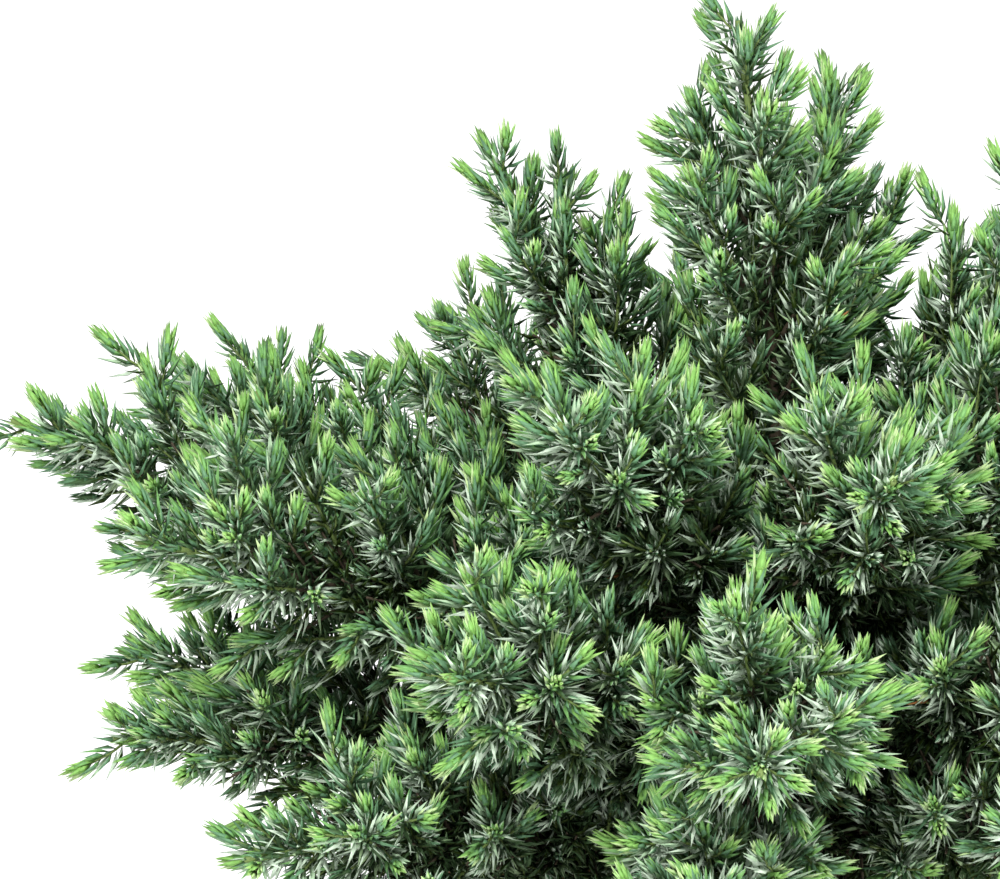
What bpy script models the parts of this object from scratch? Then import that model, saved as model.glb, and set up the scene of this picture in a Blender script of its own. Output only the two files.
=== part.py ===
"""A juniper in a clay pot: pot, compost, trunk, boughs and the masses of needled shoots that they carry.

Metres, +Z up. The origin is the middle of the pot's flat underside, and the crown's best side faces -Y.
"""

import math
import random

import bmesh
import bpy
import numpy as np
from mathutils import Matrix, Vector

# Clearance between two pieces that touch
GAP = 0.0003

# Clay pot. Its edges are rounded off by the last value here
POT_HEIGHT = 0.172
POT_FOOT_RADIUS = 0.070
POT_RIM_RADIUS = 0.104
POT_WALL = 0.007
POT_FLOOR = 0.009
RIM_HEIGHT = 0.030
RIM_STEP = 0.005
ROUND_OFF = 0.0025
POT_SIDES = 36
DRAIN_HOLES = 4
DRAIN_RADIUS = 0.006
DRAIN_CIRCLE = 0.034
DRAIN_SIDES = 10

# Compost, and the flat place in its middle where the trunk stands
COMPOST_TOP = 0.155
COMPOST_DROP = 0.004
COMPOST_FLAT_RADIUS = 0.028

# Trunk: root flare, taper and lean
TRUNK_FLARE_RADIUS = 0.0175
TRUNK_RADIUS = 0.0115
TRUNK_TIP_RADIUS = 0.0042
TRUNK_HEIGHT = 0.128
TRUNK_LEAN = Vector((0.004, 0.006, 0.0))
FLARE_SHARE = 0.055
TRUNK_SIDES = 12
TRUNK_RINGS = 10

# Boughs, and the stems that carry on from them through the foliage
BOUGH_TIP_RADIUS = 0.0024
STEM_TIP_RADIUS = 0.0009
BOUGH_SIDES = 5
BOUGH_RINGS = 4
STEM_SIDES = 3
STEM_RINGS = 4
BEND_AT = 0.45
LEADER = "upper_top"
LEADER_BEND = Vector((0.004, 0.0, 0.0))

# The crown grows out from this height above the compost
CROWN_HEART = 0.030

# Each tier of the crown: the heights above the compost where its boughs leave the trunk, how many places
# round the crown lie between one bough and the next above it, a bough's radius at the trunk, the share of
# it that is bare, how far it arches above a straight line as a share of its length, and the longest shoot
TIERS = {
    "low": {
        "leaves": (0.013, 0.044),
        "step": 3,
        "radius": 0.0040,
        "bare": 0.22,
        "arch": 0.10,
        "shoot": 0.066,
    },
    "middle": {
        "leaves": (0.049, 0.081),
        "step": 3,
        "radius": 0.0038,
        "bare": 0.22,
        "arch": 0.07,
        "shoot": 0.076,
    },
    "upper": {
        "leaves": (0.087, 0.117),
        "step": 1,
        "radius": 0.0030,
        "bare": 0.20,
        "arch": -0.04,
        "shoot": 0.068,
    },
}

# Where each bough's tip is, seen from the crown's heart: compass angle from +X towards +Y and rise above
# level in degrees, and reach in metres
BOUGHS = {
    "low": {
        "left": (176, 20, 0.198),
        "left_front": (196, 20, 0.201),
        "front_left": (223, 20, 0.205),
        "front": (262, 23, 0.207),
        "front_right": (299, 23, 0.204),
        "right_front": (335, 18, 0.205),
        "right": (8, 18, 0.204),
        "right_back": (46, 18, 0.198),
        "back": (90, 18, 0.195),
        "left_back": (136, 18, 0.198),
    },
    "middle": {
        "left": (177, 33, 0.255),
        "left_back": (157, 33, 0.226),
        "back_left": (125, 31, 0.206),
        "back": (90, 38, 0.214),
        "right_back": (52, 38, 0.220),
        "right": (14, 38, 0.230),
        "right_front": (338, 37, 0.236),
        "front_right": (301, 34, 0.220),
        "front": (266, 32, 0.237),
        "front_left": (241, 36, 0.226),
        "left_front": (204, 36, 0.232),
    },
    "upper": {
        "left": (148, 66, 0.224),
        "right_front": (325, 58, 0.222),
        "back": (76, 66, 0.236),
        "front_left": (243, 54, 0.228),
        "right": (14, 64, 0.228),
        "front": (280, 53, 0.216),
        "top": (108, 83, 0.252),
    },
}

# Side shoots along a stem: how far apart they leave it, between which shares of it, turned how far from
# each other, and how far they lean from it at its foot and its tip. The outer part of a shoot turns along
# the stem and up. Where one finds no room it is tried shorter, down to the shortest
GROWTH_SEED = 3
SHOOT_SPACING = 0.0132
FEWEST_SHOOTS = 6
FIRST_SHOOT = 0.08
LAST_SHOOT = 0.93
UNEVEN = 0.2
GOLDEN_ANGLE = math.radians(137.508)
LEAN_AT_FOOT = math.radians(58)
LEAN_AT_TIP = math.radians(34)
TURN_ALONG = 0.25
TURN_UP = 0.50
UNEVEN_LENGTH = (0.82, 1.10)
TRY_SHORTER = 0.86
SHORTEST_SHOOT = 0.018
TIP_SHOOT = 0.040

# A shoot's own shape: a three-sided twig up to its neck, then two whorls of three broad needles that lean
# forward, and a pointed end. Shares are of the shoot's length, and radii are those of the largest shoot
TWIG_RADIUS = 0.0010
NECK_AT = 0.22
WHORLS_AT = (0.36, 0.60)
NEEDLE_FORWARD = 0.19
LOWER_NEEDLES = 0.0117
UPPER_NEEDLES = 0.0083
BETWEEN_NEEDLES = 0.0048
FULL_SIZE_LENGTH = 0.050
SMALLEST_SHARE = 0.52

# The dense heart of a mass, that its shoots stand out of: its radius as a share of the shoots' length
# there, and the most of the space up to the next stem that it takes
CORE_SHARE = 0.23
CORE_ROOM = 0.85
CORE_SIDES = 6

# Where the needles of two shoots happen to touch edge to edge, all are turned by this and joined again
NEEDLE_TURN = math.radians(7)
TINY_EDGE = 0.000003
MOST_ATTEMPTS = 8

# What a shoot keeps clear of: its neighbours' middles, the masses beside its own, limbs and the pot
BETWEEN_SHOOTS = 0.0120
SPACE_MARGIN = 0.0010
LIMB_MARGIN = 0.0012
POT_MARGIN = 0.003
MIDDLE_MARKS = (0.20, 0.45, 0.70, 0.95)

# Points along a stem, and along a limb, where distances to it are measured from
STEM_MARKS = 10
LIMB_MARKS = 9


def clear_scene():
    for thing in list(bpy.data.objects):
        bpy.data.objects.remove(thing, do_unlink=True)


def material(name, colour, roughness):
    made = bpy.data.materials.new(name)
    made.use_nodes = True
    shader = made.node_tree.nodes["Principled BSDF"]
    shader.inputs["Base Color"].default_value = (*colour, 1.0)
    shader.inputs["Roughness"].default_value = roughness
    shader.inputs["Metallic"].default_value = 0.0
    return made


def add_object(name, mesh_maker, look):
    """A new object in the scene from a bmesh, with its faces pointing out."""
    bmesh.ops.recalc_face_normals(mesh_maker, faces=mesh_maker.faces)
    mesh = bpy.data.meshes.new(name)
    mesh_maker.to_mesh(mesh)
    mesh_maker.free()
    mesh.materials.append(look)
    made = bpy.data.objects.new(name, mesh)
    bpy.context.scene.collection.objects.link(made)
    return made


def smooth(made, angle):
    made.data.shade_smooth()
    made.data.set_sharp_from_angle(angle=math.radians(angle))


def turned(name, profile, look):
    """Turns a profile of (radius, height) pairs about Z. A radius of nought is a point on the axis."""
    work = bmesh.new()
    rings = []
    for radius, height in profile:
        if radius == 0:
            rings.append([work.verts.new((0, 0, height))] * POT_SIDES)
            continue
        turns = [math.tau * k / POT_SIDES for k in range(POT_SIDES)]
        rings.append([work.verts.new((radius * math.cos(a), radius * math.sin(a), height)) for a in turns])
    for lower, higher in zip(rings, rings[1:]):
        for k in range(POT_SIDES):
            after = (k + 1) % POT_SIDES
            corners = (lower[k], lower[after], higher[after], higher[k])
            work.faces.new(dict.fromkeys(corners))
    return add_object(name, work, look)


def cut(made, cutter):
    """Cuts the object by another, which stays as a helper, out of the model."""
    cutter.hide_render = True
    cutter.display_type = "WIRE"
    modifier = made.modifiers.new("cut", "BOOLEAN")
    modifier.operation = "DIFFERENCE"
    modifier.object = cutter
    modifier.solver = "EXACT"


def make_pot(look):
    """A turned clay pot with a thick rim band, a flat foot and drainage holes in its floor."""
    under_rim = POT_HEIGHT - RIM_HEIGHT
    below_band = POT_RIM_RADIUS - RIM_STEP
    inside_foot = POT_FOOT_RADIUS - POT_WALL
    inside_rim = POT_RIM_RADIUS - RIM_STEP - POT_WALL
    profile = [
        (0, 0),
        (POT_FOOT_RADIUS - ROUND_OFF, 0),
        (POT_FOOT_RADIUS, ROUND_OFF),
        (below_band, under_rim),
        (POT_RIM_RADIUS - ROUND_OFF / 2, under_rim),
        (POT_RIM_RADIUS, under_rim + ROUND_OFF),
        (POT_RIM_RADIUS + ROUND_OFF / 2, POT_HEIGHT - ROUND_OFF),
        (POT_RIM_RADIUS - ROUND_OFF / 2, POT_HEIGHT),
        (inside_rim + ROUND_OFF, POT_HEIGHT),
        (inside_rim, POT_HEIGHT - ROUND_OFF),
        (inside_foot, POT_FLOOR),
        (0, POT_FLOOR),
    ]
    pot = turned("pot", profile, look)
    smooth(pot, 40)
    for k in range(DRAIN_HOLES):
        angle = math.tau * (k + 0.5) / DRAIN_HOLES
        work = bmesh.new()
        place = Vector((DRAIN_CIRCLE * math.cos(angle), DRAIN_CIRCLE * math.sin(angle), POT_FLOOR / 2))
        bmesh.ops.create_cone(
            work,
            cap_ends=True,
            segments=DRAIN_SIDES,
            radius1=DRAIN_RADIUS,
            radius2=DRAIN_RADIUS,
            depth=POT_FLOOR * 2,
            matrix=Matrix.Translation(place),
        )
        cut(pot, add_object(f"drain_cutter_{k + 1}", work, look))


def pot_inside_radius(height):
    """The pot's inner radius at a height, on its slanting wall."""
    inside_foot = POT_FOOT_RADIUS - POT_WALL
    inside_rim = POT_RIM_RADIUS - RIM_STEP - POT_WALL
    share = (height - POT_FLOOR) / (POT_HEIGHT - ROUND_OFF - POT_FLOOR)
    return inside_foot + share * (inside_rim - inside_foot)


def make_compost(look):
    """The filling of the pot, level round the trunk and a little lower at the wall."""
    bottom = POT_FLOOR + GAP
    edge = COMPOST_TOP - COMPOST_DROP
    profile = [
        (0, bottom),
        (pot_inside_radius(bottom) - 2 * GAP, bottom),
        (pot_inside_radius(edge) - 2 * GAP, edge),
        (COMPOST_FLAT_RADIUS, COMPOST_TOP),
        (0, COMPOST_TOP),
    ]
    smooth(turned("compost", profile, look), 40)


def spoke_at(across, upright, angle):
    """The direction at an angle between two directions that are square to each other."""
    return across * math.cos(angle) + upright * math.sin(angle)


def tube(centres, radii, sides):
    """A bmesh tube through the centres, with pointed or flat ends: a radius of nought is a point."""
    work = bmesh.new()
    across = None
    rings = []
    for k, (centre, radius) in enumerate(zip(centres, radii)):
        ahead = centres[min(k + 1, len(centres) - 1)] - centres[max(k - 1, 0)]
        ahead = ahead.normalized()
        across = ahead.orthogonal() if across is None else across - ahead * across.dot(ahead)
        across = across.normalized()
        upright = ahead.cross(across)
        if radius == 0:
            rings.append([work.verts.new(centre)] * sides)
            continue
        spokes = [spoke_at(across, upright, math.tau * n / sides) for n in range(sides)]
        rings.append([work.verts.new(centre + radius * spoke) for spoke in spokes])
    for lower, higher in zip(rings, rings[1:]):
        for n in range(sides):
            after = (n + 1) % sides
            work.faces.new(dict.fromkeys((lower[n], lower[after], higher[after], higher[n])))
    for ring in (rings[0], rings[-1]):
        if len(set(ring)) > 1:
            work.faces.new(ring)
    return work


def trunk_centre(share):
    """A point on the trunk's leaning centreline, from the compost at 0 to the tip at 1."""
    foot = COMPOST_TOP + GAP
    return Vector((0, 0, foot + share * TRUNK_HEIGHT)) + TRUNK_LEAN * share**1.5


def trunk_radius(share):
    taper = TRUNK_RADIUS + (TRUNK_TIP_RADIUS - TRUNK_RADIUS) * share
    flare = (TRUNK_FLARE_RADIUS - TRUNK_RADIUS) * math.exp(-share / FLARE_SHARE)
    return taper + flare


def trunk_tube(grow=0.0):
    """The trunk's shape, made fatter by grow. Its foot is flat and level, with closer rings above it."""
    shares = [(k / (TRUNK_RINGS - 1)) ** 1.4 for k in range(TRUNK_RINGS)]
    centres = [trunk_centre(s) for s in shares]
    centres[-1] += Vector((0, 0, grow))
    work = tube(centres, [trunk_radius(s) + grow for s in shares], TRUNK_SIDES)
    work.verts.ensure_lookup_table()
    for corner in work.verts[:TRUNK_SIDES]:
        corner.co.z = centres[0].z
    return work


def direction(compass, rise):
    compass, rise = math.radians(compass), math.radians(rise)
    level = math.cos(rise)
    return Vector((level * math.cos(compass), level * math.sin(compass), math.sin(rise)))


def bough_curve(name, height):
    """The three points of a bough's curve, from the trunk's axis at a height above the compost."""
    tier, side = name.split("_", 1)
    compass, rise, reach = BOUGHS[tier][side]
    start = trunk_centre(height / TRUNK_HEIGHT)
    tip = Vector((0, 0, COMPOST_TOP + CROWN_HEART)) + reach * direction(compass, rise)
    arch = TIERS[tier]["arch"] * (tip - start).length
    return start, start.lerp(tip, BEND_AT) + Vector((0, 0, arch)), tip


def bough_curves():
    """Each bough's curve, by name. A tier's boughs leave the trunk one above the other.

    The tier's step takes each bough well away round the trunk from the last.
    """
    curves = {LEADER: leader_curve()}
    for tier, sizes in TIERS.items():
        names = [f"{tier}_{side}" for side in BOUGHS[tier] if f"{tier}_{side}" != LEADER]
        lowest, highest = sizes["leaves"]
        for k in range(len(names)):
            name = names[k * sizes["step"] % len(names)]
            curves[name] = bough_curve(name, lowest + (highest - lowest) * k / (len(names) - 1))
    return curves


def leader_curve():
    """The leader goes on from the trunk's tip to the crown's top."""
    start = trunk_centre(1.0) + Vector((0, 0, GAP))
    tip = bough_curve(LEADER, TRUNK_HEIGHT)[2]
    return start, start.lerp(tip, BEND_AT) + LEADER_BEND, tip


def curve_point(curve, share):
    start, middle, tip = curve
    return start.lerp(middle, share).lerp(middle.lerp(tip, share), share)


def bare_share(name):
    """The share of a bough's curve below its foliage. The leader's foliage starts at the trunk's tip."""
    return 0.0 if name == LEADER else TIERS[name.split("_")[0]]["bare"]


def stem_points(name, curve, count):
    """Evenly shared points along the stem in a mass, from clear of its bough to the curve's tip."""
    begin = bare_share(name)
    points = [curve_point(curve, begin + (1 - begin) * k / (count - 1)) for k in range(count)]
    points[0] = points[0] + (points[1] - points[0]).normalized() * GAP
    return points


def distance_to_line(points, line):
    """How far each point is from a line of straight pieces."""
    starts, ends = np.array(line[:-1]), np.array(line[1:])
    along = ends - starts
    offset = points[:, None, :] - starts[None]
    share = np.clip((offset * along).sum(2) / (along * along).sum(1), 0, 1)
    return np.linalg.norm(offset - share[..., None] * along[None], axis=2).min(1)


class Crown:
    """Where every limb and stem runs, and so which space each mass of foliage has."""

    def __init__(self, curves):
        self.curves = curves
        self.stems = {name: stem_points(name, curve, STEM_MARKS) for name, curve in curves.items()}
        self.limbs = {}
        for name, curve in curves.items():
            bare = bare_share(name)
            if bare:
                marks = [bare * k / (LIMB_MARKS - 1) for k in range(LIMB_MARKS)]
                self.limbs[name] = [curve_point(curve, mark) for mark in marks]
        self.trunk = [trunk_centre(k / (LIMB_MARKS - 1)) for k in range(LIMB_MARKS)]

    def own_space(self, name, points):
        """True if every point is nearer to this stem than to any other, and clear of limbs and pot."""
        points = np.array(points)
        own = distance_to_line(points, self.stems[name])
        for other, line in self.stems.items():
            if other != name and (distance_to_line(points, line) < own + SPACE_MARGIN).any():
                return False
        for line in self.limbs.values():
            if (distance_to_line(points, line) < TIERS["low"]["radius"] + LIMB_MARGIN).any():
                return False
        if (distance_to_line(points, self.trunk) < TRUNK_RADIUS + LIMB_MARGIN).any():
            return False
        outward = np.hypot(points[:, 0], points[:, 1])
        over_pot = outward < POT_RIM_RADIUS + 2 * POT_MARGIN
        return not (over_pot & (points[:, 2] < POT_HEIGHT + POT_MARGIN)).any()

    def room(self, name, point):
        """Half the way from a point to the nearest other stem or limb."""
        spot = np.array([point])
        lines = [line for other, line in self.stems.items() if other != name]
        lines += [line for other, line in self.limbs.items() if other != name]
        return min(float(distance_to_line(spot, line)[0]) for line in lines) / 2


def shoot_corners(root, neck, tip, turn, size):
    """The points of a shoot, ring by ring: a twig from root to neck, two whorls of needles and the end."""
    ahead = (tip - neck).normalized()
    across = ahead.orthogonal().normalized()
    upright = ahead.cross(across)
    forward = ahead * NEEDLE_FORWARD * (tip - neck).length / (1 - NECK_AT)
    lower, upper = [neck.lerp(tip, (share - NECK_AT) / (1 - NECK_AT)) for share in WHORLS_AT]
    spokes = [spoke_at(across, upright, turn + math.tau * k / 6) for k in range(6)]
    needles, between = spokes[0::2], spokes[1::2]
    lower_whorl = []
    for needle, gap in zip(needles, between):
        lower_whorl.append(lower + forward + needle * LOWER_NEEDLES * size)
        lower_whorl.append(lower + gap * BETWEEN_NEEDLES * size)
    return [
        [root],
        [neck + spoke * TWIG_RADIUS for spoke in needles],
        lower_whorl,
        [upper + forward + spoke * UPPER_NEEDLES * size for spoke in between],
        [tip],
    ]


def loft(rings):
    """A closed bmesh of triangles through rings of one, three or six points."""
    work = bmesh.new()
    made = [[work.verts.new(p) for p in ring] for ring in rings]
    for lower, higher in zip(made, made[1:]):
        count = max(len(lower), len(higher))
        for k in range(count):
            after = (k + 1) % count
            a, b = lower[k * len(lower) // count], lower[after * len(lower) // count]
            c, d = higher[after * len(higher) // count], higher[k * len(higher) // count]
            for corners in ((a, b, c), (a, c, d)):
                if len(set(corners)) == 3:
                    work.faces.new(corners)
    return work


def shoot_length(tier, share):
    """The longest side shoot at a share of the stem: longest at a fifth of it, and short near the tip."""
    swell = min(1.0, 0.72 + 1.4 * share)
    taper = 1.0 - 0.55 * share**1.3
    return TIERS[tier]["shoot"] * swell * taper


def shoot_size(length):
    """How broad a shoot of some length is, as a share of the largest."""
    return min(1.0, SMALLEST_SHARE + (1 - SMALLEST_SHARE) * length / FULL_SIZE_LENGTH)


def mass_shoots(name, crown, twist):
    """The rings of each side shoot of a mass, by the growing rule, and of the shoot at its tip.

    The needles round each shoot are turned on by twist, which moves nothing else.
    """
    tier = name.split("_")[0]
    dice = random.Random(f"{name} {GROWTH_SEED}")
    line = crown.stems[name]
    begin = bare_share(name)
    length = sum((b - a).length for a, b in zip(line, line[1:]))
    count = max(FEWEST_SHOOTS, round(length / SHOOT_SPACING))
    phase = dice.uniform(0, math.tau)
    end = line[-1]
    back = (line[-2] - end).normalized()
    neck = end + back * TIP_SHOOT * (1 - NECK_AT)
    found = [shoot_corners(end + back * TIP_SHOOT, neck, end, phase + twist, shoot_size(TIP_SHOOT))]
    taken = [neck.lerp(end, mark) for mark in MIDDLE_MARKS]
    for k in range(count):
        place = (k + dice.uniform(-UNEVEN, UNEVEN)) / (count - 1)
        share = FIRST_SHOOT + (LAST_SHOOT - FIRST_SHOOT) * place
        on_curve = begin + (1 - begin) * share
        root = curve_point(crown.curves[name], on_curve)
        ahead = (curve_point(crown.curves[name], min(1, on_curve + 0.02)) - root).normalized()
        across = ahead.orthogonal().normalized()
        upright = ahead.cross(across)
        spoke = spoke_at(across, upright, phase + k * GOLDEN_ANGLE)
        lean = LEAN_AT_FOOT + (LEAN_AT_TIP - LEAN_AT_FOOT) * share
        leaving = spoke_at(ahead, spoke, lean)
        onward = (leaving + ahead * TURN_ALONG + Vector((0, 0, TURN_UP))).normalized()
        reach = shoot_length(tier, share) * dice.uniform(*UNEVEN_LENGTH)
        turn = dice.uniform(0, math.tau) + twist
        while reach > SHORTEST_SHOOT:
            neck = root + leaving * reach * NECK_AT
            tip = neck + onward * reach * (1 - NECK_AT)
            rings = shoot_corners(root, neck, tip, turn, shoot_size(reach))
            middle = [neck.lerp(tip, mark) for mark in MIDDLE_MARKS]
            outside = [point for ring in rings[1:] for point in ring] + middle
            apart = all((a - b).length > BETWEEN_SHOOTS for a in middle for b in taken)
            if apart and crown.own_space(name, outside):
                found.append(rings)
                taken += middle
                break
            reach *= TRY_SHORTER
    return found


def core_mesh(name, crown):
    """A spindle along most of the stem, inside the mass's own space."""
    tier = name.split("_")[0]
    line = crown.stems[name]
    last = len(line) - 1
    centres = [line[0].lerp(line[1], 0.2), *line[2 : last - 2 : 2], line[last - 1]]
    radii = []
    for k, centre in enumerate(centres[1:-1]):
        full = CORE_SHARE * shoot_length(tier, 2 * (k + 1) / last)
        radii.append(min(full, CORE_ROOM * crown.room(name, centre)))
    return tube(centres, [0, *radii, 0], CORE_SIDES)


def join(base, others):
    """Joins meshes into the base object by one Boolean union on a collection, applies it and removes them.

    Says whether the outcome is closed, which it isn't where two edges happen to touch.
    """
    pieces = bpy.data.collections.new("pieces")
    bpy.context.scene.collection.children.link(pieces)
    for piece in others:
        bpy.context.scene.collection.objects.unlink(piece)
        pieces.objects.link(piece)
    modifier = base.modifiers.new("join", "BOOLEAN")
    modifier.operation = "UNION"
    modifier.operand_type = "COLLECTION"
    modifier.collection = pieces
    modifier.solver = "MANIFOLD"
    graph = bpy.context.evaluated_depsgraph_get()
    joined = one_body(bpy.data.meshes.new_from_object(base.evaluated_get(graph)))
    base.modifiers.clear()
    base.data = joined
    for piece in others:
        bpy.data.objects.remove(piece, do_unlink=True)
    bpy.data.collections.remove(pieces)
    return is_closed(joined)


def is_closed(mesh):
    """True if each edge joins just two faces."""
    work = bmesh.new()
    work.from_mesh(mesh)
    closed = all(len(edge.link_faces) == 2 for edge in work.edges)
    work.free()
    return closed


def one_body(mesh):
    """Cuts a joined mesh's faces into triangles, and drops scraps and the walls of any hollow it sealed."""
    work = bmesh.new()
    work.from_mesh(mesh)
    bmesh.ops.dissolve_degenerate(work, dist=TINY_EDGE, edges=work.edges)
    bmesh.ops.triangulate(work, faces=work.faces)
    waiting, bodies = set(work.faces), []
    while waiting:
        body, fringe = set(), {waiting.pop()}
        while fringe:
            body |= fringe
            fringe = {near for face in fringe for edge in face.edges for near in edge.link_faces} - body
        waiting -= body
        bodies.append(body)
    scraps = [face for body in sorted(bodies, key=len)[:-1] for face in body]
    bmesh.ops.delete(work, geom=scraps, context="FACES")
    work.to_mesh(mesh)
    work.free()
    return mesh


def make_mass(name, crown, look):
    """One mass of foliage: its stem, its dense heart and its needled shoots, all in one body."""
    line = stem_points(name, crown.curves[name], STEM_RINGS)
    thinning = (STEM_TIP_RADIUS - BOUGH_TIP_RADIUS) / (STEM_RINGS - 1)
    radii = [BOUGH_TIP_RADIUS + thinning * k for k in range(STEM_RINGS)]
    for attempt in range(MOST_ATTEMPTS):
        stem = add_object(f"foliage_{name}", tube(line, radii, STEM_SIDES), look)
        pieces = [add_object("core", core_mesh(name, crown), look)]
        shoots = mass_shoots(name, crown, attempt * NEEDLE_TURN)
        pieces += [add_object("shoot", loft(rings), look) for rings in shoots]
        if join(stem, pieces) or attempt == MOST_ATTEMPTS - 1:
            break
        bpy.data.objects.remove(stem, do_unlink=True)


def make_trunk(look):
    trunk = add_object("trunk", trunk_tube(), look)
    smooth(trunk, 50)


def make_bough(name, crown, socket, look):
    """One tapering limb, from where it leaves the trunk's side to where its foliage starts."""
    bare = bare_share(name)
    shares = [k / (BOUGH_RINGS - 1) for k in range(BOUGH_RINGS)]
    centres = [curve_point(crown.curves[name], bare * s) for s in shares]
    thick = TIERS[name.split("_")[0]]["radius"]
    radii = [thick + (BOUGH_TIP_RADIUS - thick) * s for s in shares]
    bough = add_object(f"bough_{name}", tube(centres, radii, BOUGH_SIDES), look)
    cut(bough, socket)
    smooth(bough, 50)


def main():
    clear_scene()
    clay = material("clay", (0.56, 0.24, 0.13), 0.85)
    earth = material("compost", (0.05, 0.033, 0.022), 0.95)
    bark = material("bark", (0.17, 0.11, 0.07), 0.9)
    green = material("needles", (0.13, 0.25, 0.10), 0.6)
    make_pot(clay)
    make_compost(earth)
    make_trunk(bark)
    crown = Crown(bough_curves())
    socket = add_object("trunk_socket", trunk_tube(GAP), bark)
    for name in crown.limbs:
        make_bough(name, crown, socket, bark)
    for name in crown.stems:
        make_mass(name, crown, green)


main()
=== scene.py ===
"""A blue-green needled juniper in a turned clay pot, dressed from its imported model.

Metres, +Z up. The pot stands on z = 0, and the crown's best side faces -Y.
"""

import math
import random

import bmesh
import bpy
import numpy as np
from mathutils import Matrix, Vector, noise


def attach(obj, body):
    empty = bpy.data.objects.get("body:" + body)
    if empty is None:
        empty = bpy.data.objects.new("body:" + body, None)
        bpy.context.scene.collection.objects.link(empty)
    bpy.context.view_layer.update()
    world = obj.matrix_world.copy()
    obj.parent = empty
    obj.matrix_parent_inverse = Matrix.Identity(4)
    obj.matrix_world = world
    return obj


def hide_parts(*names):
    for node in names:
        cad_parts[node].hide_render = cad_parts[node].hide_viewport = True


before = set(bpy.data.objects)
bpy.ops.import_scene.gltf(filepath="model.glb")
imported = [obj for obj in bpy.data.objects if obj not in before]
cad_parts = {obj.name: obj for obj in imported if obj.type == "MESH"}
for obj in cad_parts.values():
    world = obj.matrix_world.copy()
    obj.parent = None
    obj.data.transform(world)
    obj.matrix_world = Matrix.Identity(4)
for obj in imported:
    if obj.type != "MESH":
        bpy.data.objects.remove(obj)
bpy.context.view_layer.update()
bpy.ops.object.select_all(action="DESELECT")


# Clay pot
# A plant pot of red earthenware, turned on a wheel and left unglazed, with a thick collar at its mouth and
# four drainage holes. Salts from the damp compost bloom pale on its wall, and its edges are rubbed light.

POT_HEIGHT = 0.172
POT_FOOT_RADIUS = 0.070
POT_RIM_RADIUS = 0.104
POT_WALL = 0.007
POT_FLOOR = 0.009
POT_SIDES = 128
RIM_HEIGHT = 0.030
RIM_STEP = 0.005
LIP_ROUND = 0.0022
COLLAR_ROUND = 0.0016
COLLAR_DIP = 0.0002
COLLAR_DIP_AT = 0.010
COLLAR_FULL_AT = 0.020
FOOT_ROUND = 0.0022
TURNING_RINGS = 30
TURNING_DEPTH = 0.00022
RIDGES_OUTSIDE = (0.63, 4.1)
RIDGES_INSIDE = (0.71, 9.7)
DRAIN_HOLES = 4
DRAIN_CIRCLE = 0.034
DRAIN_RADIUS = 0.006
DRAIN_SIDES = 28
SMOOTH_BELOW = math.radians(40)
CLAY = (0.270, 0.098, 0.048)
PALE_CLAY = (0.385, 0.155, 0.080)
DAMP_CLAY = (0.125, 0.052, 0.030)
RUBBED_CLAY = (0.500, 0.270, 0.160)
SALTS = (0.560, 0.440, 0.340)
GRIT = (0.140, 0.060, 0.038)
SALTS_FROM = 0.018
SALTS_BELOW_COLLAR = 0.004
RUNS_FROM = 0.070
DAMP_TO = 0.040
LIP_RUBBED = (0.0022, 0.0004)


class Shade:
    """A value or colour in a material. Arithmetic on it adds the nodes that work it out."""

    def __init__(self, tree, socket):
        self.tree = tree
        self.socket = socket

    def make(self, kind, settings=None, values=None, output=0):
        """A new node of some kind, with its settings first and then its values and links."""
        node = self.tree.nodes.new(kind)
        for name, setting in (settings or {}).items():
            setattr(node, name, setting)
        for name, value in (values or {}).items():
            if isinstance(value, Shade):
                self.tree.links.new(value.socket, node.inputs[name])
            else:
                node.inputs[name].default_value = value
        return Shade(self.tree, node.outputs[output])

    def maths(self, operation, *values):
        return self.make("ShaderNodeMath", {"operation": operation}, dict(enumerate(values)))

    def __add__(self, other):
        return self.maths("ADD", self, other)

    def __rsub__(self, other):
        return self.maths("SUBTRACT", other, self)

    def __mul__(self, other):
        return self.maths("MULTIPLY", self, other)

    __radd__ = __add__
    __rmul__ = __mul__

    def ramp(self, low, high):
        """0 below the low value and 1 above the high one, with a soft step between them."""
        values = {"Value": self, "From Min": low, "From Max": high}
        return self.make("ShaderNodeMapRange", {"interpolation_type": "SMOOTHSTEP"}, values)

    def band(self, low, high, soft):
        """1 between two values and 0 outside them, with soft edges."""
        return self.ramp(low - soft, low + soft) * (1.0 - self.ramp(high - soft, high + soft))

    def colours(self, first, second):
        """A colour that goes from the first to the second as this value goes from 0 to 1."""
        ends = {
            6: first if isinstance(first, Shade) else (*first, 1),
            7: second if isinstance(second, Shade) else (*second, 1),
        }
        return self.make("ShaderNodeMix", {"data_type": "RGBA"}, {0: self, **ends}, 2)

    def stretched(self, x, y, z):
        """A place, scaled along each axis."""
        return self.make("ShaderNodeVectorMath", {"operation": "MULTIPLY"}, {0: self, 1: (x, y, z)})

    def cloud(self, scale, detail=3.0, roughness=0.55, distortion=0.0):
        """Cloudy noise at a place, about 0 to 1."""
        values = {
            "Vector": self,
            "Scale": scale,
            "Detail": detail,
            "Roughness": roughness,
            "Distortion": distortion,
        }
        return self.make("ShaderNodeTexNoise", None, values)

    def height(self):
        return self.make("ShaderNodeSeparateXYZ", None, {0: self}, 2)


def new_look(name):
    """A new material: itself, its shader, and the place in the object that its patterns are read from."""
    look = bpy.data.materials.new(name)
    look.use_nodes = True
    tree = look.node_tree
    shader = tree.nodes["Principled BSDF"]
    return look, shader, Shade(tree, tree.nodes.new("ShaderNodeTexCoord").outputs["Object"])


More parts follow.
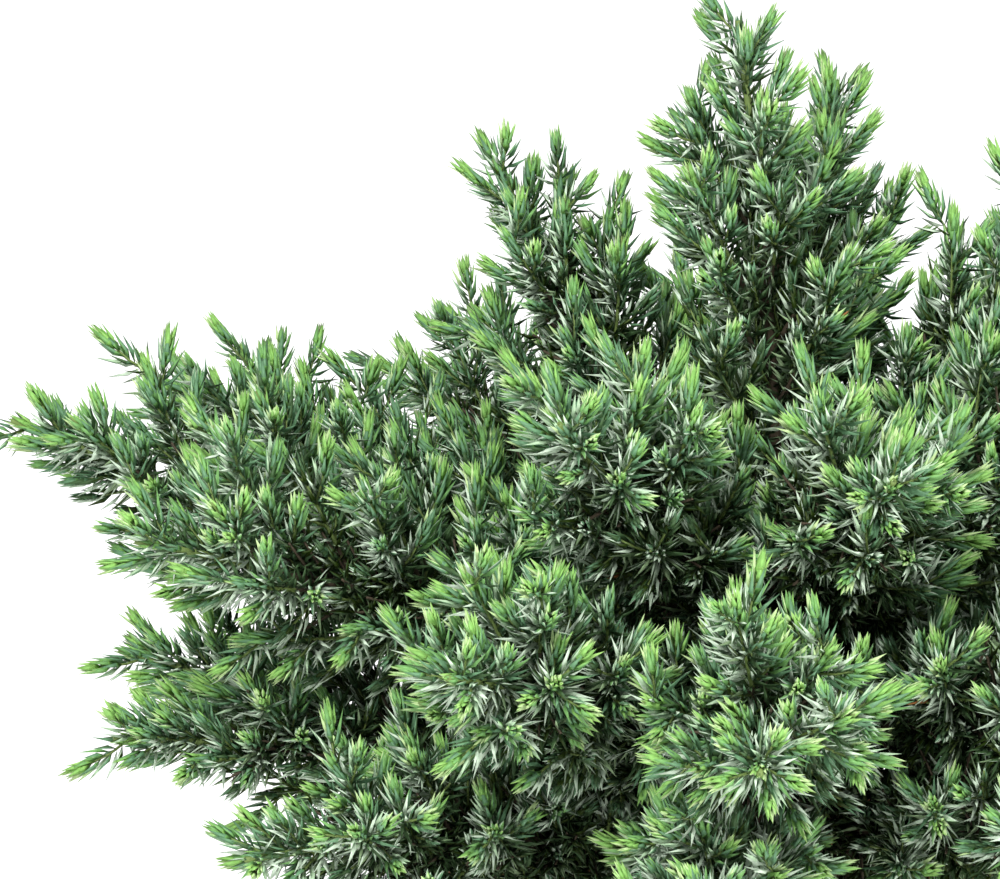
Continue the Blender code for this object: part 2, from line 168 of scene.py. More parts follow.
def finish_look(shader, colour, roughness, relief, depth):
    """Gives a shader its colour, plain or patterned, its roughness, and a relief of some depth in metres."""
    bump = relief.make("ShaderNodeBump", None, {"Strength": 1.0, "Distance": depth, "Height": relief})
    relief.tree.links.new(roughness.socket, shader.inputs["Roughness"])
    relief.tree.links.new(bump.socket, shader.inputs["Normal"])
    if isinstance(colour, Shade):
        relief.tree.links.new(colour.socket, shader.inputs["Base Color"])
    else:
        shader.inputs["Base Color"].default_value = (*colour, 1)


def clay_look():
    """Fired earthenware with faint turning lines, soft pale bloom under the collar, and a damp dark foot."""
    look, shader, place = new_look("clay")
    height = place.height()
    drift = place.cloud(scale=11, detail=4)
    grit = place.cloud(scale=900, detail=2)
    turning = place.stretched(3, 3, 420).cloud(scale=1.0, detail=3, roughness=0.6)
    wall = height.band(SALTS_FROM, POT_HEIGHT - RIM_HEIGHT - SALTS_BELOW_COLLAR, soft=0.018)
    body = drift.ramp(0.30, 0.70).colours(CLAY, PALE_CLAY)
    patches = place.stretched(1, 1, 1.5).cloud(scale=13, detail=5, roughness=0.58)
    powder = place.cloud(scale=150, detail=4, roughness=0.7)
    runs = place.stretched(1, 1, 0.12).cloud(scale=75, detail=3, roughness=0.6)
    bloom = patches.ramp(0.42, 0.72) * powder.ramp(0.30, 0.72) * wall * 0.75
    streaks = runs.ramp(0.54, 0.72) * height.band(RUNS_FROM, POT_HEIGHT - RIM_HEIGHT, soft=0.030) * 0.30
    damp = (1.0 - height.ramp(0.002, DAMP_TO)) * 0.50
    lip = height.ramp(POT_HEIGHT - LIP_RUBBED[0], POT_HEIGHT - LIP_RUBBED[1])
    rubbed = place.cloud(scale=60, detail=3).ramp(0.40, 0.62) * lip * 0.55
    colour = (bloom + streaks).colours(body, SALTS)
    colour = damp.colours(colour, DAMP_CLAY)
    colour = rubbed.colours(colour, RUBBED_CLAY)
    colour = (grit.ramp(0.66, 0.74) * 0.5).colours(colour, GRIT)
    relief = turning * 0.55 + grit * 0.25 + bloom * 0.35
    finish_look(shader, colour, 0.80 + 0.14 * powder, relief, depth=0.0006)
    return look


def arc(centre_radius, centre_height, size, begin, end, steps):
    """Pairs of radius and height along an arc, from one angle to another in degrees."""
    turns = [math.radians(begin + (end - begin) * k / steps) for k in range(steps + 1)]
    return [(centre_radius + size * math.cos(a), centre_height + size * math.sin(a)) for a in turns]


def turned_wall(start, end, ridges):
    """Pairs of radius and height between a wall's two ends, with the faint ridges that turning leaves."""
    spread, row = ridges
    wall = []
    for k in range(1, TURNING_RINGS):
        share = k / TURNING_RINGS
        ridge = TURNING_DEPTH * noise.noise(Vector((k * spread, row, 0)))
        wall.append((start[0] + share * (end[0] - start[0]) + ridge, start[1] + share * (end[1] - start[1])))
    return wall


def pot_profile():
    """The turned outline, from the foot up the outside, over the rim and down the inside to the floor."""
    under_rim = POT_HEIGHT - RIM_HEIGHT
    below_band = POT_RIM_RADIUS - RIM_STEP
    inside_foot = POT_FOOT_RADIUS - POT_WALL
    inside_rim = POT_RIM_RADIUS - RIM_STEP - POT_WALL
    lip = POT_HEIGHT - LIP_ROUND
    outline = arc(POT_FOOT_RADIUS - FOOT_ROUND, FOOT_ROUND, FOOT_ROUND, -90, 0, 4)
    outline += turned_wall((POT_FOOT_RADIUS, FOOT_ROUND), (below_band, under_rim), RIDGES_OUTSIDE)
    outline += [(below_band, under_rim - COLLAR_ROUND), (below_band, under_rim)]
    outline += arc(POT_RIM_RADIUS - COLLAR_ROUND, under_rim + COLLAR_ROUND, COLLAR_ROUND, -90, 0, 4)
    outline += [(POT_RIM_RADIUS - COLLAR_DIP, under_rim + COLLAR_DIP_AT)]
    outline += [(POT_RIM_RADIUS, under_rim + COLLAR_FULL_AT)]
    outline += arc(POT_RIM_RADIUS - LIP_ROUND, lip, LIP_ROUND, 0, 90, 5)
    outline += arc(inside_rim + LIP_ROUND, lip, LIP_ROUND, 90, 180, 5)
    outline += turned_wall((inside_rim, lip), (inside_foot, POT_FLOOR), RIDGES_INSIDE)
    return outline + [(inside_foot, POT_FLOOR)]


def select_end_face(toward=Vector((0, 0, 1))):
    """Selects only the face that lies furthest in a direction, of the mesh in edit mode."""
    bpy.ops.mesh.select_all(action="DESELECT")
    work = bmesh.from_edit_mesh(bpy.context.object.data)
    end = max(work.faces, key=lambda face: face.calc_center_median().dot(toward))
    end.select_set(True)
    bmesh.update_edit_mesh(bpy.context.object.data)


def turn_blank(name, profile, sides):
    """Turns a piece from a round blank, whose top is drawn out ring by ring, and leaves it in edit mode.

    The profile is pairs of radius and height. Its first two are the blank's foot and top.
    """
    (foot_radius, foot_height), (radius, height) = profile[:2]
    bpy.ops.object.select_all(action="DESELECT")
    bpy.ops.mesh.primitive_cylinder_add(
        vertices=sides,
        radius=foot_radius,
        depth=height - foot_height,
        location=(0, 0, (height + foot_height) / 2),
    )
    piece = bpy.context.object
    piece.name = name
    bpy.ops.object.transform_apply(location=True)
    bpy.ops.object.mode_set(mode="EDIT")
    select_end_face()
    share = radius / foot_radius
    bpy.ops.transform.resize(value=(share, share, 1), center_override=(0, 0, height))
    for next_radius, next_height in profile[2:]:
        bpy.ops.mesh.extrude_region_move(
            TRANSFORM_OT_translate={"value": (0, 0, next_height - height)}
        )
        share = next_radius / radius
        bpy.ops.transform.resize(value=(share, share, 1), center_override=(0, 0, next_height))
        radius, height = next_radius, next_height
    return piece


def drill_hole(piece, place):
    """Drills a drainage hole through the floor of a piece."""
    bpy.ops.object.select_all(action="DESELECT")
    bpy.ops.mesh.primitive_cylinder_add(
        vertices=DRAIN_SIDES, radius=DRAIN_RADIUS, depth=POT_FLOOR * 2, location=place
    )
    drill = bpy.context.object
    hole = piece.modifiers.new("drain hole", "BOOLEAN")
    hole.operation = "DIFFERENCE"
    hole.solver = "EXACT"
    hole.object = drill
    bpy.context.view_layer.objects.active = piece
    bpy.ops.object.modifier_apply(modifier=hole.name)
    bpy.data.objects.remove(drill)


pot = turn_blank("turned_pot", pot_profile(), POT_SIDES)
bpy.ops.object.mode_set(mode="OBJECT")
for k in range(DRAIN_HOLES):
    turn = math.tau * (k + 0.5) / DRAIN_HOLES
    drill_hole(pot, (DRAIN_CIRCLE * math.cos(turn), DRAIN_CIRCLE * math.sin(turn), POT_FLOOR / 2))
bpy.ops.object.select_all(action="DESELECT")
pot.select_set(True)
bpy.ops.object.shade_smooth_by_angle(angle=SMOOTH_BELOW)
pot.data.materials.append(clay_look())
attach(pot, "root")
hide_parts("pot")


# Compost
# Peat and composted bark that the plant is rooted in, level round the trunk and a little lower at the wall,
# with coarse chips of bark and crumbs of peat lying loose on it.

GAP = 0.0003
COMPOST_TOP = 0.155
COMPOST_DROP = 0.004
COMPOST_FLAT_RADIUS = 0.028
COMPOST_SIDES = 96
COMPOST_RINGS = 40
COMPOST_ROUGH = 0.0011
COARSE_LUMPS = 55
FINE_LUMPS = 170
FINE_SHARE = 0.6
LUMPS_SUNK = 0.5
PEAT = (0.011, 0.007, 0.005)
BROWN_PEAT = (0.052, 0.031, 0.019)
FIBRE = (0.135, 0.082, 0.046)
CHIPS = 330
CHIP_LENGTHS = (0.0040, 0.0115)
CRUMBS = 900
CRUMB_LENGTHS = (0.0012, 0.0036)
BIT_BREADTH = (0.35, 0.75)
BIT_THICKNESS = (0.12, 0.35)
BIT_KNOCKED = (0.6, 1.0)
BIT_SLOPE = 0.35
BIT_TILT = 0.3
BIT_SINK = 0.55
BIT_FROM_WALL = 0.004
TRUNK_CLEAR = 0.021
RED_CHIP = (0.055, 0.030, 0.018)
TAN_CHIP = (0.190, 0.105, 0.058)
CHIP_GRAIN = (0.030, 0.018, 0.012)
# The corners of a block, counted round its foot and then round its top
BLOCK_CORNERS = [(i, j, k) for k in (-1, 1) for i, j in ((-1, -1), (1, -1), (1, 1), (-1, 1))]
BLOCK_SIDES = [(0, 3, 2, 1), (4, 5, 6, 7), (0, 1, 5, 4), (1, 2, 6, 5), (2, 3, 7, 6), (3, 0, 4, 7)]


def pot_inside_radius(height):
    """The pot's inner radius at a height, on its slanting wall."""
    inside_foot = POT_FOOT_RADIUS - POT_WALL
    inside_rim = POT_RIM_RADIUS - RIM_STEP - POT_WALL
    share = (height - POT_FLOOR) / (POT_HEIGHT - LIP_ROUND - POT_FLOOR)
    return inside_foot + share * (inside_rim - inside_foot)


def compost_level(x, y):
    """The height of the compost's uneven surface at a place."""
    outward = math.hypot(x, y)
    edge = pot_inside_radius(COMPOST_TOP)
    fall = max(0.0, outward - COMPOST_FLAT_RADIUS) / (edge - COMPOST_FLAT_RADIUS)
    coarse = noise.noise(Vector((x * COARSE_LUMPS, y * COARSE_LUMPS, 0)))
    lumps = coarse + FINE_SHARE * noise.noise(Vector((x * FINE_LUMPS, y * FINE_LUMPS, 3)))
    return COMPOST_TOP - COMPOST_DROP * min(1.0, fall) + COMPOST_ROUGH * (lumps - LUMPS_SUNK)


def compost_look():
    """Dark damp peat with paler fibres in it."""
    look, shader, place = new_look("compost")
    lumps = place.cloud(scale=70, detail=5, roughness=0.65)
    fibres = place.stretched(1, 2.6, 1).cloud(scale=420, detail=3, roughness=0.6, distortion=1.0)
    colour = lumps.ramp(0.32, 0.68).colours(PEAT, BROWN_PEAT)
    colour = (fibres.ramp(0.60, 0.72) * 0.7).colours(colour, FIBRE)
    roughness = 0.86 + 0.12 * lumps
    finish_look(shader, colour, roughness, lumps * 0.6 + fibres * 0.4, depth=0.0016)
    return look


def chip_look():
    """Broken bark, each bit of its own brown, with dark grain."""
    look, shader, place = new_look("bark chip")
    grain = place.stretched(1, 1, 3).cloud(scale=260, detail=4, roughness=0.6, distortion=0.8)
    piece = place.cloud(scale=95, detail=1)
    colour = piece.ramp(0.35, 0.65).colours(RED_CHIP, TAN_CHIP)
    colour = (grain.ramp(0.5, 0.7) * 0.5).colours(colour, CHIP_GRAIN)
    finish_look(shader, colour, 0.80 + 0.15 * grain, grain, depth=0.0005)
    return look


def mesh_piece(name, points, triangles, looks, look_of_each=None):
    """A new mesh piece from arrays of points and triangles, each with the number of its look."""
    mesh = bpy.data.meshes.new(name)
    mesh.vertices.add(len(points))
    mesh.vertices.foreach_set("co", np.asarray(points, np.float32).ravel())
    mesh.loops.add(3 * len(triangles))
    mesh.loops.foreach_set("vertex_index", np.asarray(triangles, np.int32).ravel())
    mesh.polygons.add(len(triangles))
    mesh.polygons.foreach_set("loop_start", np.arange(0, 3 * len(triangles), 3, dtype=np.int32))
    mesh.polygons.foreach_set("loop_total", np.full(len(triangles), 3, np.int32))
    for look in looks:
        mesh.materials.append(look)
    if look_of_each is not None:
        mesh.polygons.foreach_set("material_index", np.asarray(look_of_each, np.int32))
    mesh.update(calc_edges=True)
    piece = bpy.data.objects.new(name, mesh)
    bpy.context.scene.collection.objects.link(piece)
    return piece


def scatter(name, count, lengths, look, dice):
    """Loose broken bits lying on the compost: each a small block with its corners knocked about."""
    points, triangles = [], []
    inside = pot_inside_radius(COMPOST_TOP) - BIT_FROM_WALL
    for _ in range(count):
        outward = math.sqrt(dice.uniform(TRUNK_CLEAR**2, inside**2))
        turn = dice.uniform(0, math.tau)
        x, y = outward * math.cos(turn), outward * math.sin(turn)
        long = dice.uniform(*lengths) / 2
        half = (long, long * dice.uniform(*BIT_BREADTH), long * dice.uniform(*BIT_THICKNESS))
        spin = dice.uniform(0, math.tau)
        across = Vector((math.cos(spin), math.sin(spin), dice.uniform(-BIT_SLOPE, BIT_SLOPE))).normalized()
        tilt = [dice.uniform(-BIT_TILT, BIT_TILT) for _ in "xy"]
        upright = Vector((*tilt, 1)).normalized()
        sideways = upright.cross(across).normalized()
        upright = across.cross(sideways)
        middle = Vector((x, y, compost_level(x, y) + half[2] * BIT_SINK))
        first = len(points)
        for i, j, k in BLOCK_CORNERS:
            offset = across * i * half[0] * dice.uniform(*BIT_KNOCKED)
            offset += sideways * j * half[1] * dice.uniform(*BIT_KNOCKED)
            offset += upright * k * half[2] * dice.uniform(*BIT_KNOCKED)
            points.append(middle + offset)
        for a, b, c, d in BLOCK_SIDES:
            triangles += [(first + a, first + b, first + c), (first + a, first + c, first + d)]
    piece = mesh_piece(name, points, triangles, [look])
    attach(piece, "root")
    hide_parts("compost")


compost_dice = random.Random("compost")
peat = compost_look()
bottom = POT_FLOOR + GAP
edge = COMPOST_TOP - COMPOST_DROP
side = pot_inside_radius(edge) - 2 * GAP
foot = (pot_inside_radius(bottom) - 2 * GAP, bottom)
rings = [(side * (1 - k / COMPOST_RINGS), edge) for k in range(COMPOST_RINGS)]
compost = turn_blank("compost_filling", [foot] + rings, COMPOST_SIDES)
bpy.ops.mesh.poke()
bpy.ops.object.mode_set(mode="OBJECT")
for vertex in compost.data.vertices:
    if vertex.co.z > edge - GAP:
        vertex.co.z = compost_level(vertex.co.x, vertex.co.y)
bpy.ops.object.shade_smooth()
compost.data.materials.append(peat)
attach(compost, "root")
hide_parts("compost")
scatter("bark_chips", CHIPS, CHIP_LENGTHS, chip_look(), compost_dice)
scatter("peat_crumbs", CRUMBS, CRUMB_LENGTHS, peat, compost_dice)


# Trunk
# One short stem of wood with a flared foot and a slight lean, rooted in the compost. Its stringy grey-brown
# bark lies in long twisted strips, and some of them lift at their upper ends.

TRUNK_FLARE_RADIUS = 0.0175
TRUNK_RADIUS = 0.0115
TRUNK_TIP_RADIUS = 0.0042
TRUNK_HEIGHT = 0.128
TRUNK_LEAN = Vector((0.004, 0.006, 0.0))
LEAN_CURVE = 1.5
FLARE_SHARE = 0.055
TRUNK_SIDES = 96
TRUNK_RINGS = 110
BARK_TWIST = 5.0
BARK_STRETCH = 0.16
BARK_STRIPS = 330
BARK_THREADS = 1100
BARK_DEPTH = 0.0011
STRIP_RELIEF = 0.35
THREAD_RELIEF = 0.25
GROOVE_RELIEF = 0.8
GROOVE_BREADTH = 0.25
GROOVE_SLOPE = 1.5
NEW_BARK = (0.085, 0.036, 0.020)
OLD_BARK = (0.205, 0.148, 0.108)
WEATHERED_BARK = (0.235, 0.200, 0.160)
BARK_CRACK = (0.030, 0.018, 0.012)
LOOSE_STRIPS = 46
STRIP_RINGS = 6
STRIP_FEET = (0.02, 0.80)
STRIP_LENGTHS = (0.014, 0.034)
STRIP_BREADTHS = (0.0008, 0.0018)
STRIP_LIFTS = (0.0006, 0.0032)
STRIP_HALF_THICK = 0.00022
STRIP_OFF_TRUNK = 0.0001
STRIP_CURL = 2.5
STRIP_NARROWS = 0.6
STRIP_HIGHEST = 0.99


def spoke_at(across, upright, angle):
    """The direction at an angle between two directions that are square to each other."""
    return across * math.cos(angle) + upright * math.sin(angle)


def square_to(ahead):
    """Two directions that are square to the one ahead and to each other."""
    across = ahead.orthogonal().normalized()
    return across, ahead.cross(across)


def trunk_centre(share):
    """A point on the trunk's leaning centreline, from the compost at 0 to the tip at 1."""
    foot = COMPOST_TOP + GAP
    return Vector((0, 0, foot + share * TRUNK_HEIGHT)) + TRUNK_LEAN * share**LEAN_CURVE


def trunk_radius(share):
    taper = TRUNK_RADIUS + (TRUNK_TIP_RADIUS - TRUNK_RADIUS) * share
    flare = (TRUNK_FLARE_RADIUS - TRUNK_RADIUS) * math.exp(-share / FLARE_SHARE)
    return taper + flare


def draw_limb(name, centres, radii, sides):
    """A limb that starts as a round blank, with its end drawn out through one ring after another."""
    ahead = (centres[1] - centres[0]).normalized()
    bpy.ops.object.select_all(action="DESELECT")
    bpy.ops.mesh.primitive_cylinder_add(
        vertices=sides,
        radius=radii[0],
        depth=(centres[1] - centres[0]).length,
        location=(centres[0] + centres[1]) / 2,
        rotation=ahead.to_track_quat("Z", "Y").to_euler(),
    )
    limb = bpy.context.object
    limb.name = name
    bpy.ops.object.transform_apply(location=True, rotation=True)
    bpy.ops.object.mode_set(mode="EDIT")
    select_end_face(ahead)
    share = radii[1] / radii[0]
    bpy.ops.transform.resize(value=(share, share, share), center_override=centres[1])
    for k in range(2, len(centres)):
        step = centres[k] - centres[k - 1]
        bpy.ops.mesh.extrude_region_move(TRANSFORM_OT_translate={"value": step})
        share = radii[k] / radii[k - 1]
        bpy.ops.transform.resize(value=(share, share, share), center_override=centres[k])
    bpy.ops.object.mode_set(mode="OBJECT")
    return limb


def raise_bark(limb, centres, radii, seed):
    """Works the bark's strips and grooves into a limb, and marks how its grain runs.

    The mark of each point is its place on the same limb, but straight, upright and twisted with the grain.
    """
    ahead = (centres[1] - centres[0]).normalized()
    across, upright = square_to(ahead)
    heights = [(centre - centres[0]).dot(ahead) for centre in centres]
    grain = limb.data.attributes.new("grain", "FLOAT_VECTOR", "POINT")
    for vertex in limb.data.vertices:
        height = (vertex.co - centres[0]).dot(ahead)
        k = min(range(len(heights)), key=lambda ring: abs(heights[ring] - height))
        spoke = vertex.co - centres[k]
        turn = math.atan2(spoke.dot(upright), spoke.dot(across)) + heights[k] * BARK_TWIST
        mark = Vector((math.cos(turn) * radii[k], math.sin(turn) * radii[k], heights[k] + seed))
        place = mark * Vector((1, 1, BARK_STRETCH))
        strips = noise.noise(place * BARK_STRIPS)
        threads = noise.noise(place * BARK_THREADS)
        groove = max(0.0, GROOVE_BREADTH - abs(strips)) / GROOVE_BREADTH
        relief = STRIP_RELIEF * strips + THREAD_RELIEF * threads - GROOVE_RELIEF * groove**GROOVE_SLOPE
        vertex.co += spoke.normalized() * (BARK_DEPTH * relief)
        grain.data[vertex.index].vector = mark


def bark_look():
    """Grey weathered strips over red-brown newer bark that shows between them."""
    look, shader, place = new_look("bark")
    grain = place.make("ShaderNodeAttribute", {"attribute_name": "grain"}, None, "Vector")
    threads = grain.stretched(1, 1, 0.16).cloud(scale=900, detail=4, roughness=0.62, distortion=0.4)
    strips = grain.stretched(1, 1, 0.22).cloud(scale=260, detail=3, roughness=0.55, distortion=0.5)
    patches = place.cloud(scale=55, detail=3)
    colour = strips.ramp(0.36, 0.60).colours(NEW_BARK, OLD_BARK)
    colour = (patches.ramp(0.48, 0.66) * 0.45).colours(colour, WEATHERED_BARK)
    colour = ((1.0 - threads.ramp(0.34, 0.48)) * 0.75).colours(colour, BARK_CRACK)
    relief = strips * 0.5 + threads * 0.5
    finish_look(shader, colour, 0.82 + 0.14 * patches, relief, depth=0.0007)
    return look


def loose_strips(count, dice):
    """Thin strips of bark that lift off the trunk at their upper ends."""
    points, triangles = [], []
    for _ in range(count):
        turn, foot = dice.uniform(0, math.tau), dice.uniform(*STRIP_FEET)
        long, wide = dice.uniform(*STRIP_LENGTHS), dice.uniform(*STRIP_BREADTHS)
        lift = dice.uniform(*STRIP_LIFTS)
        across = Vector((-math.sin(turn), math.cos(turn), 0))
        out = Vector((math.cos(turn), math.sin(turn), 0))
        thick = out * STRIP_HALF_THICK
        first = len(points)
        for k in range(STRIP_RINGS + 1):
            share = k / STRIP_RINGS
            up = min(STRIP_HIGHEST, foot + share * long / TRUNK_HEIGHT)
            stand = trunk_radius(up) + STRIP_OFF_TRUNK + lift * share**STRIP_CURL
            middle = trunk_centre(up) + out * stand
            half = across * wide / 2 * (1 - STRIP_NARROWS * share)
            points += [middle - half - thick, middle + half - thick]
            points += [middle + half + thick, middle - half + thick]
        for k in range(STRIP_RINGS):
            lower, higher = first + 4 * k, first + 4 * k + 4
            for n in range(4):
                after = (n + 1) % 4
                triangles.append((lower + n, lower + after, higher + after))
                triangles.append((lower + n, higher + after, higher + n))
        last = first + 4 * STRIP_RINGS
        triangles += [(first, first + 2, first + 1), (first, first + 3, first + 2)]
        triangles += [(last, last + 1, last + 2), (last, last + 2, last + 3)]
    return points, triangles


bark = bark_look()
centres = [trunk_centre(k / TRUNK_RINGS) for k in range(TRUNK_RINGS + 1)]
radii = [trunk_radius(k / TRUNK_RINGS) for k in range(TRUNK_RINGS + 1)]
trunk_piece = draw_limb("trunk_bark", centres, radii, TRUNK_SIDES)
raise_bark(trunk_piece, centres, radii, 0.0)
bpy.ops.object.shade_smooth_by_angle(angle=SMOOTH_BELOW)
trunk_piece.data.materials.append(bark)
points, triangles = loose_strips(LOOSE_STRIPS, random.Random("strips"))
strip_piece = mesh_piece("loose_bark", points, triangles, [bark])
grain = strip_piece.data.attributes.new("grain", "FLOAT_VECTOR", "POINT")
grain.data.foreach_set("vector", np.array(points).ravel())
for piece in (trunk_piece, strip_piece):
    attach(piece, "root")
    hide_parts("trunk")


# Boughs
# Tapering limbs of wood with the trunk's bark, in three tiers. They grow out of the trunk and sweep out and
# up, bare until their foliage starts.

BOUGH_TIP_RADIUS = 0.0024
BOUGH_RINGS = 26
BOUGH_SIDES = 22
BEND_AT = 0.45
LEADER = "upper_top"
LEADER_BEND = Vector((0.004, 0.0, 0.0))
CROWN_HEART = 0.030
# Where a tier leaves the trunk, above the compost, and in what order. Then each bough's radius, the share of
# it that is bare, how far it arches, and its longest spray.
TIERS = {
    "low": dict(leaves=(0.013, 0.044), step=3, radius=0.0040, bare=0.22, arch=0.10, shoot=0.066),
    "middle": dict(leaves=(0.049, 0.081), step=3, radius=0.0038, bare=0.22, arch=0.07, shoot=0.076),
    "upper": dict(leaves=(0.087, 0.117), step=1, radius=0.0030, bare=0.20, arch=-0.04, shoot=0.068),
}
# Each bough's compass direction and rise in degrees, and its reach from the crown's heart
BOUGHS = {
    "low": {
        "left": (176, 20, 0.198),
        "left_front": (196, 20, 0.201),
        "front_left": (223, 20, 0.205),
        "front": (262, 23, 0.207),
        "front_right": (299, 23, 0.204),
        "right_front": (335, 18, 0.205),
        "right": (8, 18, 0.204),
        "right_back": (46, 18, 0.198),
        "back": (90, 18, 0.195),
        "left_back": (136, 18, 0.198),
    },
    "middle": {
        "left": (177, 33, 0.255),
        "left_back": (157, 33, 0.226),
        "back_left": (125, 31, 0.206),
        "back": (90, 38, 0.214),
        "right_back": (52, 38, 0.220),
        "right": (14, 38, 0.230),
        "right_front": (338, 37, 0.236),
        "front_right": (301, 34, 0.220),
        "front": (266, 32, 0.237),
        "front_left": (241, 36, 0.226),
        "left_front": (204, 36, 0.232),
    },
    "upper": {
        "left": (148, 66, 0.224),
        "right_front": (325, 58, 0.222),
        "back": (76, 66, 0.236),
        "front_left": (243, 54, 0.228),
        "right": (14, 64, 0.228),
        "front": (280, 53, 0.216),
        "top": (108, 83, 0.252),
    },
}


def direction(compass, rise):
    compass, rise = math.radians(compass), math.radians(rise)
    level = math.cos(rise)
    return Vector((level * math.cos(compass), level * math.sin(compass), math.sin(rise)))


def tier_of(name):
    return name.split("_")[0]


def bough_curve(name, height):
    """The three points of a bough's curve, from the trunk's axis at a height above the compost."""
    tier, side = name.split("_", 1)
    compass, rise, reach = BOUGHS[tier][side]
    start = trunk_centre(height / TRUNK_HEIGHT)
    tip = Vector((0, 0, COMPOST_TOP + CROWN_HEART)) + reach * direction(compass, rise)
    arch = TIERS[tier]["arch"] * (tip - start).length
    return start, start.lerp(tip, BEND_AT) + Vector((0, 0, arch)), tip


def leader_curve():
    """The leader goes on from the trunk's tip to the crown's top."""
    start = trunk_centre(1.0) + Vector((0, 0, GAP))
    tip = bough_curve(LEADER, TRUNK_HEIGHT)[2]
    return start, start.lerp(tip, BEND_AT) + LEADER_BEND, tip


def bough_curves():
    """Each bough's curve, by name. A tier's boughs leave the trunk one above the other."""
    curves = {LEADER: leader_curve()}
    for tier, sizes in TIERS.items():
        names = [f"{tier}_{side}" for side in BOUGHS[tier] if f"{tier}_{side}" != LEADER]
        lowest, highest = sizes["leaves"]
        for k in range(len(names)):
            name = names[k * sizes["step"] % len(names)]
            curves[name] = bough_curve(name, lowest + (highest - lowest) * k / (len(names) - 1))
    return curves


def curve_point(curve, share):
    start, middle, tip = curve
    return start.lerp(middle, share).lerp(middle.lerp(tip, share), share)


def bare_share(name):
    """The share of a bough's curve below its foliage. The leader's foliage starts at the trunk's tip."""
    return 0.0 if name == LEADER else TIERS[tier_of(name)]["bare"]


curves = bough_curves()
bare_boughs = [name for name in curves if bare_share(name)]
limbs = []
for number, name in enumerate(bare_boughs):
    bare = bare_share(name)
    thick = TIERS[tier_of(name)]["radius"]
    centres = [curve_point(curves[name], bare * k / BOUGH_RINGS) for k in range(BOUGH_RINGS + 1)]
    radii = [thick + (BOUGH_TIP_RADIUS - thick) * k / BOUGH_RINGS for k in range(BOUGH_RINGS + 1)]
    limbs.append(draw_limb("bough_bark", centres, radii, BOUGH_SIDES))
    raise_bark(limbs[-1], centres, radii, number + 1.0)
for limb in limbs:
    limb.select_set(True)
bpy.context.view_layer.objects.active = limbs[0]
bpy.ops.object.join()
bough_piece = limbs[0]
bpy.ops.object.shade_smooth_by_angle(angle=SMOOTH_BELOW)
bough_piece.data.materials.append(bark)
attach(bough_piece, "root")
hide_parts(*[f"bough_{name}" for name in bare_boughs])


# Twigs
# The boughs' stems run on through the foliage in thin brown wood. Sprays leave them in a spiral, and carry
# the year's short shoots, whose bark is still olive. Older shoots are left in the crown's shaded inside.

GROWTH_SEED = 3
GOLDEN_ANGLE = math.radians(137.508)
# The points marked along each stem and limb, and how clear of them and of the pot foliage stays
STEM_MARKS = 10
LIMB_MARKS = 9
SPACE_MARGIN = 0.0010
LIMB_MARGIN = 0.0012
POT_MARGIN = 0.003


def line_length(points):
    return sum((b - a).length for a, b in zip(points, points[1:]))


def curve_length(curve, steps=8):
    return line_length([curve_point(curve, k / steps) for k in range(steps + 1)])


def root_on(curve, share, step):
    """A point on a curve, and the way that the curve runs there, looking on by a small step."""
    root = curve_point(curve, share)
    return root, (curve_point(curve, min(1, share + step)) - root).normalized()


def leave_and_turn(ahead, spoke, lean, along, up):
    """The way that a shoot leaves its stem at a lean, and the way that it goes on, along the stem and up."""
    leaving = spoke_at(ahead, spoke, lean)
    return leaving, (leaving + ahead * along + Vector((0, 0, up))).normalized()


def stem_points(name, curve, count):
    """Evenly shared points along the stem in a mass, from clear of its bough to the curve's tip."""
    begin = bare_share(name)
    points = [curve_point(curve, begin + (1 - begin) * k / (count - 1)) for k in range(count)]
    points[0] = points[0] + (points[1] - points[0]).normalized() * GAP
    return points


def pieces_of(lines):
    """The starts and runs of all the straight pieces of some lines, and which line each belongs to."""
    starts = np.array([p for line in lines for p in line[:-1]])
    ends = np.array([p for line in lines for p in line[1:]])
    owner = np.array([k for k, line in enumerate(lines) for _ in line[1:]])
    return starts, ends - starts, owner


def distances(points, starts, runs):
    """How far each point is from each straight piece."""
    offset = points[:, None, :] - starts[None]
    share = np.clip((offset * runs).sum(2) / (runs * runs).sum(1), 0, 1)
    return np.linalg.norm(offset - share[..., None] * runs[None], axis=2)


class Crown:
    """Where every limb and stem runs, and so which space each mass of foliage has."""

    def __init__(self, curves):
        self.curves = curves
        self.stems = {name: stem_points(name, curve, STEM_MARKS) for name, curve in curves.items()}
        self.number = {name: k for k, name in enumerate(self.stems)}
        self.stem_starts, self.stem_runs, self.stem_owner = pieces_of(list(self.stems.values()))
        limbs = []
        for name, curve in curves.items():
            bare = bare_share(name)
            if bare:
                limbs.append([curve_point(curve, bare * k / (LIMB_MARKS - 1)) for k in range(LIMB_MARKS)])
        self.limb_starts, self.limb_runs, _ = pieces_of(limbs)
        trunk = [trunk_centre(k / (LIMB_MARKS - 1)) for k in range(LIMB_MARKS)]
        self.trunk_starts, self.trunk_runs, _ = pieces_of([trunk])

    def own_space(self, name, points, margin=SPACE_MARGIN, limb_margin=LIMB_MARGIN):
        """True if every point is nearer to this stem than to any other, and clear of limbs and pot."""
        points = np.array(points)
        outward = np.hypot(points[:, 0], points[:, 1])
        over_pot = outward < POT_RIM_RADIUS + 2 * POT_MARGIN
        if (over_pot & (points[:, 2] < POT_HEIGHT + POT_MARGIN)).any():
            return False
        far = distances(points, self.stem_starts, self.stem_runs)
        own = self.stem_owner == self.number[name]
        if (far[:, ~own].min(1) < far[:, own].min(1) + margin).any():
            return False
        thick = TIERS["low"]["radius"] + limb_margin
        if (distances(points, self.limb_starts, self.limb_runs) < thick).any():
            return False
        return not (distances(points, self.trunk_starts, self.trunk_runs) < TRUNK_RADIUS + limb_margin).any()


